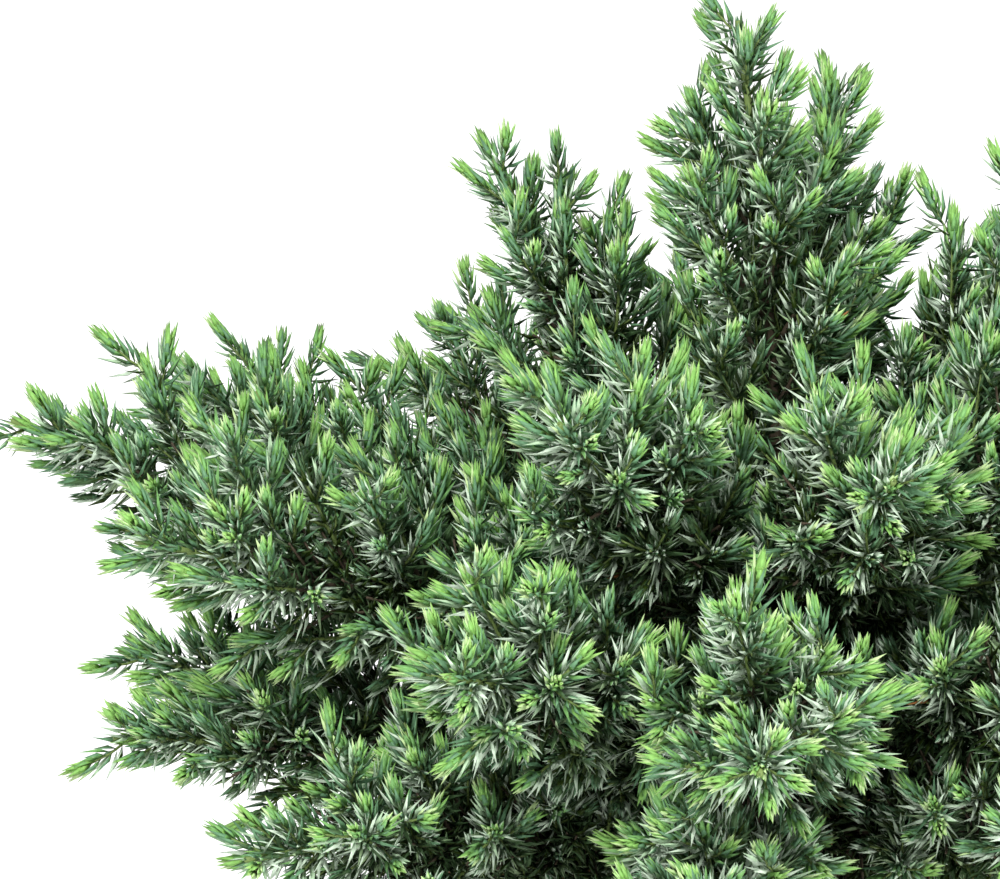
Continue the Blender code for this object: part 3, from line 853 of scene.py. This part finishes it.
class Apart:
    """Points kept apart from each other, found again by the small cube that each is in."""

    def __init__(self, distance):
        self.distance = distance
        self.cells = {}

    def cell(self, point):
        return tuple(int(math.floor(c / self.distance)) for c in point)

    def clear(self, point):
        x, y, z = self.cell(point)
        for i in (x - 1, x, x + 1):
            for j in (y - 1, y, y + 1):
                for k in (z - 1, z, z + 1):
                    for other in self.cells.get((i, j, k), ()):
                        if (other - point).length < self.distance:
                            return False
        return True

    def keep(self, point):
        self.cells.setdefault(self.cell(point), []).append(point)


# Where a spray bends, how it is shortened until it fits, and where it is tested
NECK_AT = 0.22
TRY_SHORTER = 0.86
SHORTEST_SHOOT = 0.018
MIDDLE_MARKS = (0.20, 0.45, 0.70, 0.95)


def longest_that_fits(
    root, leaving, onward, reach, fits, neck_at=NECK_AT, shorter=TRY_SHORTER, least=SHORTEST_SHOOT
):
    """The root, neck and tip of the longest shoot that fits, or None if not even a short one does."""
    while reach > least:
        neck = root + leaving * reach * neck_at
        tip = neck + onward * reach * (1 - neck_at)
        if fits(neck, tip, reach):
            return root, neck, tip
        reach *= shorter
    return None


def marks_between(neck, tip, marks=MIDDLE_MARKS):
    return [neck.lerp(tip, mark) for mark in marks]


# The outline of a spray in the solid model
TWIG_RADIUS = 0.0010
WHORLS_AT = (0.36, 0.60)
NEEDLE_FORWARD = 0.19
LOWER_NEEDLES = 0.0117
UPPER_NEEDLES = 0.0083
BETWEEN_NEEDLES = 0.0048


def shoot_corners(neck, tip, turn, size):
    """The outermost points of a spray of the solid model, which its shoots stay within."""
    ahead = (tip - neck).normalized()
    across, upright = square_to(ahead)
    forward = ahead * NEEDLE_FORWARD * (tip - neck).length / (1 - NECK_AT)
    lower, upper = [neck.lerp(tip, (share - NECK_AT) / (1 - NECK_AT)) for share in WHORLS_AT]
    spokes = [spoke_at(across, upright, turn + math.tau * k / 6) for k in range(6)]
    needles, between = spokes[0::2], spokes[1::2]
    corners = [neck + spoke * TWIG_RADIUS for spoke in needles]
    corners += [lower + forward + needle * LOWER_NEEDLES * size for needle in needles]
    corners += [lower + gap * BETWEEN_NEEDLES * size for gap in between]
    corners += [upper + forward + spoke * UPPER_NEEDLES * size for spoke in between]
    return corners + [tip]


# How a spray's length follows from its place on the stem, and its breadth from its length
LENGTH_AT_FOOT = 0.72
LENGTH_GAIN = 1.4
LENGTH_LOST_AT_TIP = 0.55
LENGTH_LOST_LATE = 1.3
FULL_SIZE_LENGTH = 0.050
SMALLEST_SHARE = 0.52


def shoot_length(tier, share):
    """The longest spray at a share of the stem: longest at a fifth of it, and short near the tip."""
    swell = min(1.0, LENGTH_AT_FOOT + LENGTH_GAIN * share)
    taper = 1.0 - LENGTH_LOST_AT_TIP * share**LENGTH_LOST_LATE
    return TIERS[tier]["shoot"] * swell * taper


def shoot_size(length):
    """How broad a spray of some length is, as a share of the largest."""
    return min(1.0, SMALLEST_SHARE + (1 - SMALLEST_SHARE) * length / FULL_SIZE_LENGTH)


# The solid model's sprays, by its own growing rule
STEM_AHEAD = 0.02
LEAN_AT_FOOT = math.radians(58)
LEAN_AT_TIP = math.radians(34)
TURN_ALONG = 0.25
TURN_UP = 0.50
SHOOT_SPACING = 0.0132
FEWEST_SHOOTS = 6
FIRST_SHOOT = 0.08
LAST_SHOOT = 0.93
UNEVEN = 0.2
UNEVEN_LENGTH = (0.82, 1.10)
TIP_SHOOT = 0.040
BETWEEN_SHOOTS = 0.0120


def spray_ways(name, crown, share):
    """Where a spray leaves its stem, and a function for its two directions at an angle round the stem."""
    begin = bare_share(name)
    root, ahead = root_on(crown.curves[name], begin + (1 - begin) * share, STEM_AHEAD)
    across, upright = square_to(ahead)
    lean = LEAN_AT_FOOT + (LEAN_AT_TIP - LEAN_AT_FOOT) * share

    def set_out(angle):
        return leave_and_turn(ahead, spoke_at(across, upright, angle), lean, TURN_ALONG, TURN_UP)

    return root, set_out


def mass_sprays(name, crown):
    """The root, neck and tip of each spray of a mass by the solid model's growing rule, and their middles."""
    dice = random.Random(f"{name} {GROWTH_SEED}")
    line = crown.stems[name]
    count = max(FEWEST_SHOOTS, round(line_length(line) / SHOOT_SPACING))
    phase = dice.uniform(0, math.tau)
    end = line[-1]
    back = (line[-2] - end).normalized()
    neck = end + back * TIP_SHOOT * (1 - NECK_AT)
    found = [(end + back * TIP_SHOOT, neck, end)]
    taken = marks_between(neck, end)
    for k in range(count):
        place = (k + dice.uniform(-UNEVEN, UNEVEN)) / (count - 1)
        share = FIRST_SHOOT + (LAST_SHOOT - FIRST_SHOOT) * place
        root, set_out = spray_ways(name, crown, share)
        leaving, onward = set_out(phase + k * GOLDEN_ANGLE)
        reach = shoot_length(tier_of(name), share) * dice.uniform(*UNEVEN_LENGTH)
        turn = dice.uniform(0, math.tau)

        def fits(neck, tip, reach):
            middle = marks_between(neck, tip)
            if any((a - b).length <= BETWEEN_SHOOTS for a in middle for b in taken):
                return False
            return crown.own_space(name, shoot_corners(neck, tip, turn, shoot_size(reach)) + middle)

        spray = longest_that_fits(root, leaving, onward, reach, fits)
        if spray:
            found.append(spray)
            taken += marks_between(*spray[1:])
    return found, taken


# The finer sprays between them
FINE_SPACING = 0.0075
FINE_FIRST = 0.02
FINE_RUN = 0.94
FINE_UNEVEN = 0.4
FINE_LIMITS = (0.01, 0.97)
FINE_BETWEEN = 0.0095
FINE_REACH = 0.85
FINE_SPACE_MARGIN = -0.004
ATTEMPTS = 4


def fine_sprays(name, crown, taken):
    """More sprays, in the room that the first ones leave."""
    dice = random.Random(f"{name} fine {GROWTH_SEED}")
    line = crown.stems[name]
    count = round(line_length(line) / FINE_SPACING)
    phase = dice.uniform(0, math.tau)
    found = []

    def fits(neck, tip, reach):
        middle = marks_between(neck, tip)
        if any((a - b).length <= FINE_BETWEEN for a in middle for b in taken):
            return False
        before_end = (tip - line[-1]).dot(line[-1] - line[-2]) < 0
        return before_end and crown.own_space(name, middle, FINE_SPACE_MARGIN)

    for k in range(count):
        share = FINE_FIRST + FINE_RUN * (k + dice.uniform(-FINE_UNEVEN, FINE_UNEVEN)) / (count - 1)
        share = min(max(share, FINE_LIMITS[0]), FINE_LIMITS[1])
        root, set_out = spray_ways(name, crown, share)
        for attempt in range(ATTEMPTS):
            leaving, onward = set_out(phase + (k + attempt / (ATTEMPTS - 1)) * GOLDEN_ANGLE)
            reach = FINE_REACH * shoot_length(tier_of(name), share) * dice.uniform(*UNEVEN_LENGTH)
            spray = longest_that_fits(root, leaving, onward, reach, fits)
            if spray:
                found.append(spray)
                taken += marks_between(*spray[1:])
                break
    return found


# The year's shoots along sprays and stems
SHOOTS_APART = 0.0066
SHOOT_STEP = 0.0048
SHOOT_UNEVEN = 0.3
SHOOT_LIMITS = (0.02, 0.98)
SHOOT_LEANS = (42, 58)
SHOOT_ALONG = 0.55
SHOOT_UP = 0.30
SHOOT_NECK = 0.3
SHOOT_MARKS = (0.3, 0.9)
SHOOT_AHEAD = 0.03
SHOOT_SHORTER = 0.8
UNEVEN_SHOOTS = (0.8, 1.1)
SHORTER_AT_TIP = 0.3
NEXT_SPOKE = 0.37
ABOUT_A_TURN = 6.28
LONGEST = 0.029
SHORTEST = 0.015
END_SHOOT = 0.024
END_MARK = 0.95
SHARE_OF_SPRAY = 0.7
ON_SPRAY = (0.2, 0.9)
ON_STEM = (0.3, 0.96)


def end_shoot(spray):
    """The shoot of its own that a spray ends in."""
    last = min(END_SHOOT, SHARE_OF_SPRAY * curve_length(spray))
    begin = 1 - last / curve_length(spray)
    return curve_point(spray, begin), curve_point(spray, (1 + begin) / 2), spray[2]


def shoots_along(name, crown, room, dice, curve, part, longest):
    """Short shoots in a spiral along a part of a curve, each with room round it."""
    first_turn = dice.uniform(0, ABOUT_A_TURN)
    begin, end = part
    count = max(2, round(curve_length(curve) * (end - begin) / SHOOT_STEP))
    found = []

    def fits(neck, tip, reach):
        marks = marks_between(neck, tip, SHOOT_MARKS)
        clear = all(room.clear(mark) for mark in marks)
        return clear and crown.own_space(name, marks, FINE_SPACE_MARGIN, 0.0)

    for k in range(count):
        uneven = dice.uniform(-SHOOT_UNEVEN, SHOOT_UNEVEN)
        share = begin + (end - begin) * (k + uneven) / max(1, count - 1)
        share = min(max(share, SHOOT_LIMITS[0]), SHOOT_LIMITS[1])
        root, ahead = root_on(curve, share, SHOOT_AHEAD)
        across, upright = square_to(ahead)
        for attempt in range(ATTEMPTS):
            spoke = spoke_at(across, upright, first_turn + (k + attempt * NEXT_SPOKE) * GOLDEN_ANGLE)
            lean = math.radians(dice.uniform(*SHOOT_LEANS))
            leaving, onward = leave_and_turn(ahead, spoke, lean, SHOOT_ALONG, SHOOT_UP)
            reach = min(longest, LONGEST) * (1 - SHORTER_AT_TIP * share) * dice.uniform(*UNEVEN_SHOOTS)
            shoot = longest_that_fits(root, leaving, onward, reach, fits, SHOOT_NECK, SHOOT_SHORTER, SHORTEST)
            if shoot:
                found.append(shoot)
                for mark in marks_between(*shoot[1:], SHOOT_MARKS):
                    room.keep(mark)
                break
    return found


# The old shoots in the crown's shaded inside
INNER_SHOOTS = 72
INNER_ON_BOUGH = (0.06, 0.78)
INNER_LEANS = (40, 70)
INNER_LENGTHS = (0.020, 0.036)
INNER_SHORTER_OUT = 0.35
INNER_ALONG = 0.4
INNER_UP = 0.2
OVER_POT = 0.004
OVER_COMPOST = 0.008
INSIDE_POT = 0.085


def inner_shoots(name, crown):
    """Old shoots in the crown's shaded inside, along the inner part of a bough. The leader has none."""
    dice = random.Random(f"{name} inner {GROWTH_SEED}")
    found = []
    for _ in range(0 if name == LEADER else INNER_SHOOTS):
        share = dice.uniform(*INNER_ON_BOUGH)
        root, ahead = root_on(crown.curves[name], share, SHOOT_AHEAD)
        across, upright = square_to(ahead)
        spoke = spoke_at(across, upright, dice.uniform(0, math.tau))
        lean = math.radians(dice.uniform(*INNER_LEANS))
        leaving, onward = leave_and_turn(ahead, spoke, lean, INNER_ALONG, INNER_UP)
        reach = dice.uniform(*INNER_LENGTHS) * (1 - INNER_SHORTER_OUT * share)
        neck = root + leaving * reach * SHOOT_NECK
        tip = neck + onward * reach * (1 - SHOOT_NECK)
        clear = min(neck.z, tip.z) > POT_HEIGHT + OVER_POT or math.hypot(tip.x, tip.y) < INSIDE_POT
        if clear and tip.z > COMPOST_TOP + OVER_COMPOST:
            found.append((root, neck, tip))
    return found


# What shelters a shoot from the open air, which sets how much painted shade its needles take and how far
# apart its whorls stand
SHELTER_MARK = 0.7
SHELTER_AHEAD = 0.006
SHELTER_ASIDE = 0.010


def shelter(shoots):
    """How many other shoots stand between each shoot and the open air, looking out from the crown's heart."""
    middles = np.array([curve_point(curve, SHELTER_MARK) for curve in shoots])
    outward = middles - np.array([0, 0, COMPOST_TOP + CROWN_HEART])
    outward /= np.linalg.norm(outward, axis=1, keepdims=True)
    sheltering = []
    for middle, out in zip(middles, outward):
        offset = middles - middle
        ahead = offset @ out
        aside = np.linalg.norm(offset - ahead[:, None] * out, axis=1)
        sheltering.append(int(((ahead > SHELTER_AHEAD) & (aside < SHELTER_ASIDE)).sum()))
    return sheltering


# The radii of a twig's rings, the share of its curve from one ring to the next, its sides, and how many of
# its rings have old bark
STEM_TIP_RADIUS = 0.0009
STEM_SIDES, STEM_OLD_RINGS = 6, 7
SPRAY_RADII = (0.001, 0.0009, 0.0007, 0.0005, 0.0003)
SPRAY_STEP, SPRAY_SIDES, SPRAY_OLD_RINGS = 0.25, 4, 2
SHOOT_RADII = (0.0005, 0.0004, 0.0003)
SHOOT_TWIG_STEP, SHOOT_SIDES, SHOOT_OLD_RINGS = 0.4, 3, 0
INNER_RADII = (0.0008, 0.0006, 0.0004)
INNER_STEP, INNER_SIDES, INNER_OLD_RINGS = 0.5, 3, 3
OLD_TWIG = (0.048, 0.034, 0.018)
YOUNG_TWIG = (0.115, 0.170, 0.040)


def tube_arrays(centres, radii, sides):
    """Points and triangles of a tube through the centres, with closed ends."""
    points, rings, across = [], [], None
    for k, (centre, radius) in enumerate(zip(centres, radii)):
        ahead = (centres[min(k + 1, len(centres) - 1)] - centres[max(k - 1, 0)]).normalized()
        across = ahead.orthogonal() if across is None else across - ahead * across.dot(ahead)
        across = across.normalized()
        upright = ahead.cross(across)
        rings.append(range(len(points), len(points) + sides))
        for n in range(sides):
            points.append(centre + radius * spoke_at(across, upright, math.tau * n / sides))
    triangles = []
    for lower, higher in zip(rings, rings[1:]):
        for n in range(sides):
            after = (n + 1) % sides
            triangles.append((lower[n], lower[after], higher[after]))
            triangles.append((lower[n], higher[after], higher[n]))
    for ring, end in ((rings[0], centres[0]), (rings[-1], centres[-1])):
        points.append(end)
        for n in range(sides):
            pair = (ring[n], ring[(n + 1) % sides])
            triangles.append((len(points) - 1, *(pair if ring is rings[-1] else pair[::-1])))
    return points, triangles


def twig_look(name, colour, roughness):
    """Thin bark of one colour, ridged along its length where the needles' bases run down it."""
    look, shader, place = new_look(name)
    ridges = place.stretched(1, 1, 0.3).cloud(scale=900, detail=2)
    finish_look(shader, colour, roughness + 0.15 * ridges, ridges, depth=0.0003)
    return look


class Twigs:
    """The twigs of one tier, gathered tube by tube. Their first rings have old bark and the rest young."""

    def __init__(self):
        self.points = []
        self.triangles = []
        self.looks = []

    def add(self, centres, radii, sides, old_rings):
        points, triangles = tube_arrays(centres, radii, sides)
        first = len(self.points)
        self.triangles += [tuple(first + n for n in triangle) for triangle in triangles]
        self.points += points
        old = min(2 * sides * old_rings, len(triangles))
        self.looks += [0] * old + [1] * (len(triangles) - old)

    def add_along(self, curve, step, radii, sides, old_rings):
        """A twig through points that lie a step apart on a curve."""
        self.add([curve_point(curve, k * step) for k in range(len(radii))], radii, sides, old_rings)


crown = Crown(curves)
room = Apart(SHOOTS_APART)
sprays_of, shoots_of = {}, {}
for name in crown.stems:
    sprays, taken = mass_sprays(name, crown)
    sprays_of[name] = sprays + fine_sprays(name, crown, taken)
for name, sprays in sprays_of.items():
    shoots_of[name] = [end_shoot(spray) for spray in sprays]
    for spray, shoot in zip(sprays, shoots_of[name]):
        room.keep(shoot[1])
        room.keep(curve_point(spray, END_MARK))
for name, sprays in sprays_of.items():
    dice = random.Random(f"{name} shoots {GROWTH_SEED}")
    for spray in sprays:
        longest = SHARE_OF_SPRAY * curve_length(spray)
        shoots_of[name] += shoots_along(name, crown, room, dice, spray, ON_SPRAY, longest)
    shoots_of[name] += shoots_along(name, crown, room, dice, crown.curves[name], ON_STEM, LONGEST)
inner_of = {name: inner_shoots(name, crown) for name in crown.stems}
covers = iter(shelter([shoot for shoots in shoots_of.values() for shoot in shoots]))
cover_of = {name: [next(covers) for _ in shoots] for name, shoots in shoots_of.items()}

old_twig = twig_look("old twig bark", OLD_TWIG, 0.80)
young_twig = twig_look("young twig bark", YOUNG_TWIG, 0.60)
taper = STEM_TIP_RADIUS - BOUGH_TIP_RADIUS
stem_radii = [BOUGH_TIP_RADIUS + taper * k / (STEM_MARKS - 1) for k in range(STEM_MARKS)]
for tier in TIERS:
    names = [name for name in curves if tier_of(name) == tier]
    twigs = Twigs()
    for name in names:
        twigs.add(crown.stems[name], stem_radii, STEM_SIDES, STEM_OLD_RINGS)
        for curve in sprays_of[name]:
            twigs.add_along(curve, SPRAY_STEP, SPRAY_RADII, SPRAY_SIDES, SPRAY_OLD_RINGS)
        for curve in shoots_of[name]:
            twigs.add_along(curve, SHOOT_TWIG_STEP, SHOOT_RADII, SHOOT_SIDES, SHOOT_OLD_RINGS)
        for curve in inner_of[name]:
            twigs.add_along(curve, INNER_STEP, INNER_RADII, INNER_SIDES, INNER_OLD_RINGS)
    piece = mesh_piece(f"twigs_{tier}", twigs.points, twigs.triangles, [old_twig, young_twig], twigs.looks)
    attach(piece, "root")
    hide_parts(*[f"foliage_{name}" for name in names])


# Needles
# Stiff awl-shaped needles in whorls of three round every shoot. They are blue-green outside with a silvery
# bloom inside, and the soft new ones at each open tip are still yellow-green and held close.

NEEDLE_COLOURS = {
    "pale lime": (0.400, 0.540, 0.250),
    "lime": (0.245, 0.435, 0.115),
    "fresh": (0.180, 0.365, 0.088),
    "green": (0.132, 0.288, 0.090),
    "blue": (0.095, 0.200, 0.105),
    "slate": (0.042, 0.085, 0.032),
    # Painted shade: dark, and the dimmed silver below, stand in for the crown's shade on the needles that
    # take them.
    "dark": (0.017, 0.034, 0.002),
    "frost": (0.350, 0.490, 0.315),
    "silver": (0.480, 0.590, 0.455),
    "painted shade silver": (0.215, 0.310, 0.165),
    "dead": (0.260, 0.110, 0.035),
}
# The colours of a needle's faces: two on its inner side, then two on its outer side
NEEDLE_KINDS = {
    "newest": ("pale lime", "lime", "lime", "fresh"),
    "new": ("pale lime", "fresh", "fresh", "green"),
    "full": ("frost", "green", "green", "blue"),
    "grown": ("silver", "blue", "blue", "slate"),
    # Painted shade: the dark face of the old kind and the shaded and inner kinds are darker colours that
    # stand in for the crown's shade.
    "old": ("silver", "slate", "slate", "dark"),
    "shaded": ("painted shade silver", "slate", "dark", "dark"),
    "inner": ("slate", "dark", "dark", "dark"),
    "dead": ("dead", "dead", "dead", "dead"),
}
COLOUR_NUMBERS = {name: number for number, name in enumerate(NEEDLE_COLOURS)}
FACE_LOOKS = np.array([[COLOUR_NUMBERS[colour] for colour in kind] for kind in NEEDLE_KINDS.values()])
NEWEST, NEW, FULL, GROWN, OLD, SHADED, INNER, DEAD = range(len(NEEDLE_KINDS))
NEEDLE_FACES = [(0, 3, 1), (0, 2, 3), (0, 1, 2), (1, 3, 2)]
NEEDLE_LENGTH = 0.0086
NEEDLE_WIDTH = 0.00156
WIDEST_AT = 0.38
BOW = 0.21
UNEVEN_TURN = 0.15
UNEVEN_LEAN = 6
UNEVEN_SIZE = (0.86, 1.12)
NEARLY_UP = (0.31, 0.22, 0.925)
# The distance between whorls at a shoot's foot and at its tip
OPEN_WHORLS = (0.0027, 0.0010)
SHADED_WHORLS = (0.0040, 0.0022)
SPRAY_WHORLS = (0.0033, 0.0026)
INNER_WHORLS = (0.0034, 0.0026)
# A shoot's last whorls stand a few millimetres short of its tip, and a spray is bare at both ends
BARE_TIP = 0.0055
LEAST_NEEDLED = 0.3
LAST_WHORL = 0.02
SPRAY_BARE = 0.08
SPRAY_NEEDLED = 0.75


def needle_look(name, colour):
    """A waxy needle: one plain colour, with a bloom that lies unevenly on it."""
    look, shader, place = new_look(f"needle {name}")
    shader.inputs["Specular IOR Level"].default_value = 0.20
    bloom = place.cloud(scale=350, detail=2)
    finish_look(shader, colour, 0.40 + 0.22 * bloom, bloom, depth=0.0002)
    return look


def unit(vectors):
    return vectors / np.linalg.norm(vectors, axis=1, keepdims=True)


def whorl_places(length, spacing):
    """Shares of a shoot where whorls stand: wide apart at its foot and close at its tip."""
    wide, close = spacing
    places, along = [], close
    while along < length:
        share = along / length
        places.append(share)
        along += wide * (1 - share) + close * share
    return places


def needle_arrays(starts, necks, tips, share, turn, lean, size, wide):
    """The four corners of each needle, from its shoot's curve, its place, turn and lean, and its size."""
    share = share[:, None]
    feet = (1 - share) ** 2 * starts + 2 * share * (1 - share) * necks + share**2 * tips
    ahead = unit(2 * (1 - share) * (necks - starts) + 2 * share * (tips - necks))
    across = unit(np.cross(ahead, np.array(NEARLY_UP)))
    upright = np.cross(ahead, across)
    out = across * np.cos(turn)[:, None] + upright * np.sin(turn)[:, None]
    side = np.cross(ahead, out)
    long = (NEEDLE_LENGTH * size)[:, None]
    half = (NEEDLE_WIDTH * wide * (0.5 + 0.5 * size) / 2)[:, None]

    def toward(angle):
        return ahead * np.cos(angle)[:, None] + out * np.sin(angle)[:, None]

    middle = feet + toward(lean + BOW) * long * WIDEST_AT
    tip = middle + toward(lean - BOW) * long * (1 - WIDEST_AT)
    return np.stack([feet, middle + side * half, middle - side * half, tip], 1)


class Needles:
    """The needles of one mass of foliage, gathered shoot by shoot."""

    def __init__(self, dice):
        self.dice = dice
        self.rows = []
        self.kinds = []

    def along(self, curve, places, lean, size, wide, kind):
        """Whorls of three along a shoot: their lean in degrees, size and kind follow from their place."""
        start, neck, tip = (np.array(corner) for corner in curve)
        phase = self.dice.uniform(0, math.tau)
        for n, place in enumerate(places):
            for k in range(3):
                turn = phase + n * math.pi / 3 + k * math.tau / 3 + self.dice.normal(0, UNEVEN_TURN)
                tilt = math.radians(lean(place) + self.dice.normal(0, UNEVEN_LEAN))
                grown = size(place) * self.dice.uniform(*UNEVEN_SIZE)
                self.rows.append((start, neck, tip, place, turn, tilt, grown, wide(place)))
                self.kinds.append(kind(place))

    def piece(self, name, looks):
        corners = needle_arrays(*[np.array(column) for column in zip(*self.rows)])
        first = 4 * np.arange(len(corners))[:, None, None]
        triangles = (np.array(NEEDLE_FACES)[None] + first).reshape(-1, 3)
        return mesh_piece(name, corners.reshape(-1, 3), triangles, looks, FACE_LOOKS[self.kinds].ravel())


# From how many sheltering shoots a shoot's colours shift a little toward the older, darker ones, and from how
# many it takes only the dark kinds: painted shade
LIGHT_COVER = 2
DEEP_COVER = 5
SHADE_AGES = 0.14
UNEVEN_AGE = 0.05
DEAD_CHANCE = 0.0003
# The share of a shoot above which its needles are of each age, and how vigorous a shoot has to be
NEWEST_FROM, NEW_FROM, FULL_FROM, GROWN_FROM = 0.91, 0.75, 0.46, 0.20
# Under deep cover, painted shade: the shares above which a shoot's needles take the grown and old kinds
# instead of the shaded one
PAINTED_SHADE_GROWN_FROM, PAINTED_SHADE_OLD_FROM = 0.75, 0.4
VIGOROUS, WEAK = 0.30, 0.15
# A shoot's needles: their lean in degrees, size and width at its tip or foot, and how these change
LEAN_AT_SHOOT_TIP, LEAN_MORE_AT_FOOT, LEAN_FALLS = 14, 60, 1.85
SIZE_AT_FOOT, SIZE_GAIN, SIZE_LOST_AT_TIP = 1.10, 0.14, 0.36
WIDTH_AT_FOOT, WIDTH_GAIN = 0.47, 0.67


def clothe_shoot(needles, curve, cover):
    """One year's shoot. In the open it is a full brush with a yellow-green tip; under other shoots it is
    given darker colours as painted shade.
    """
    dice = needles.dice
    vigour = dice.random()
    length = curve_length(curve)
    last = max(LEAST_NEEDLED, 1 - BARE_TIP / length)
    spacing = OPEN_WHORLS if cover < DEEP_COVER else SHADED_WHORLS
    places = [place * last for place in whorl_places(length * last, spacing)] + [last, last + LAST_WHORL]
    # Painted shade: a sheltered shoot's colours are shifted toward the older, darker ones
    age = 0.0 if cover < LIGHT_COVER else SHADE_AGES

    def lean(place):
        return LEAN_AT_SHOOT_TIP + LEAN_MORE_AT_FOOT * max(0.0, 1 - place / last) ** LEAN_FALLS

    def size(place):
        return SIZE_AT_FOOT + SIZE_GAIN * (place / last) - SIZE_LOST_AT_TIP * (place / last) ** 3

    def wide(place):
        return WIDTH_AT_FOOT + WIDTH_GAIN * min(1.0, place / last)

    def kind(place):
        if dice.random() < DEAD_CHANCE:
            return DEAD
        share = place / last + dice.normal(0, UNEVEN_AGE) - age
        # Painted shade: a deeply sheltered shoot takes only the darker kinds
        if cover >= DEEP_COVER:
            return GROWN if share > PAINTED_SHADE_GROWN_FROM else OLD if share > PAINTED_SHADE_OLD_FROM else SHADED
        if share > NEWEST_FROM:
            return NEWEST if vigour > VIGOROUS else NEW
        if share > NEW_FROM:
            return NEW if vigour > VIGOROUS else FULL
        if share > FULL_FROM:
            return FULL if vigour > WEAK else GROWN
        return GROWN if share > GROWN_FROM else OLD

    needles.along(curve, places, lean, size, wide, kind)


# A spray's and an inner shoot's needles: lean at the foot and how much less it is at the tip, and size
OLD_LEAN = 84
SPRAY_LEANS_LESS, INNER_LEANS_LESS = 28, 40
SPRAY_SIZE, SPRAY_SIZE_GAIN, SPRAY_WIDTH = 1.12, 0.05, 0.60
INNER_SIZE = 0.9
# Painted shade: a spray's needles take the shaded kind up to the first share below and now and then beyond
# it, and an inner shoot's needles mostly take the dark inner kind.
SPRAY_SHADED_TO = 0.35
SPRAY_OLD_CHANCE, INNER_DARK_CHANCE = 0.75, 0.8


def clothe_spray(needles, curve):
    """Last year's needles on a spray, which stand well out and are painted darkest near its foot, as shade.
    """
    whorls = whorl_places(curve_length(curve) * SPRAY_NEEDLED, SPRAY_WHORLS)
    places = [SPRAY_BARE + SPRAY_NEEDLED * place for place in whorls]

    def lean(place):
        return OLD_LEAN - SPRAY_LEANS_LESS * place

    def size(place):
        return SPRAY_SIZE + SPRAY_SIZE_GAIN * place

    def wide(place):
        return SPRAY_WIDTH

    def kind(place):
        old = place > SPRAY_SHADED_TO and needles.dice.random() < SPRAY_OLD_CHANCE
        return OLD if old else SHADED

    needles.along(curve, places, lean, size, wide, kind)


def clothe_inner_shoot(needles, curve):
    """The oldest needles, all of one size and width, in the crown's inside, coloured dark as painted shade.
    """

    def lean(place):
        return OLD_LEAN - INNER_LEANS_LESS * place

    def size(place):
        return INNER_SIZE

    def kind(place):
        # Painted shade: most of these needles take the dark inner kind
        return INNER if needles.dice.random() < INNER_DARK_CHANCE else SHADED

    needles.along(curve, whorl_places(curve_length(curve), INNER_WHORLS), lean, size, size, kind)


needle_looks = [needle_look(name, colour) for name, colour in NEEDLE_COLOURS.items()]
for number, name in enumerate(crown.stems):
    needles = Needles(np.random.default_rng([GROWTH_SEED, number]))
    for curve, cover in zip(shoots_of[name], cover_of[name]):
        clothe_shoot(needles, curve, cover)
    for curve in sprays_of[name]:
        clothe_spray(needles, curve)
    for curve in inner_of[name]:
        clothe_inner_shoot(needles, curve)
    piece = needles.piece(f"needles_{name}", needle_looks)
    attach(piece, "root")
    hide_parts(f"foliage_{name}")


# Floor, light and camera
# A white paper floor and even white light from all round, with a soft key light from the upper left and a
# weaker fill from the right. The camera looks at the crown's upper left part, as in the photograph.

FLOOR_SIZE = 30
PAPER = (0.95, 0.95, 0.95)
ROUND_LIGHT = 1.12
LIGHT_AIM = Vector((0, 0, 0.28))
CAMERA_PLACE = Vector((-0.0756, -1.12763114, 0.73243623))
CAMERA_AIM = Vector((-0.0756, 0.0, 0.32201206))
CAMERA_LENS = 154.2857
SENSOR_WIDTH = 36

bpy.ops.mesh.primitive_plane_add(size=FLOOR_SIZE, location=(0, 0, 0))
floor = bpy.context.object
floor.name = "floor"
floor_look, floor_shader, place = new_look("pale floor")
paper = place.cloud(scale=40, detail=3)
finish_look(floor_shader, PAPER, 0.82 + 0.12 * paper, paper, depth=0.0002)
floor.data.materials.append(floor_look)

world = bpy.data.worlds.new("studio")
bpy.context.scene.world = world
world.use_nodes = True
world.node_tree.nodes["Background"].inputs["Color"].default_value = (1, 1, 1, 1)
world.node_tree.nodes["Background"].inputs["Strength"].default_value = ROUND_LIGHT


def area_light(name, place, size, power):
    """A round soft light that faces the crown, with its size in metres and its power in watts."""
    data = bpy.data.lights.new(name, "AREA")
    data.shape = "DISK"
    data.size = size
    data.energy = power
    lamp = bpy.data.objects.new(name, data)
    lamp.location = place
    lamp.rotation_euler = (LIGHT_AIM - Vector(place)).to_track_quat("-Z", "Y").to_euler()
    bpy.context.scene.collection.objects.link(lamp)


area_light("key", (-0.55, -1.25, 1.75), size=0.7, power=46)
area_light("fill", (1.15, -1.25, 0.75), size=1.1, power=22)

camera_data = bpy.data.cameras.new("camera")
camera_data.lens = CAMERA_LENS
camera_data.sensor_width = SENSOR_WIDTH
camera = bpy.data.objects.new("camera", camera_data)
camera.location = CAMERA_PLACE
camera.rotation_euler = (CAMERA_AIM - CAMERA_PLACE).to_track_quat("-Z", "Y").to_euler()
bpy.context.scene.collection.objects.link(camera)
bpy.context.scene.camera = camera
bpy.context.scene.view_settings.view_transform = "Standard"
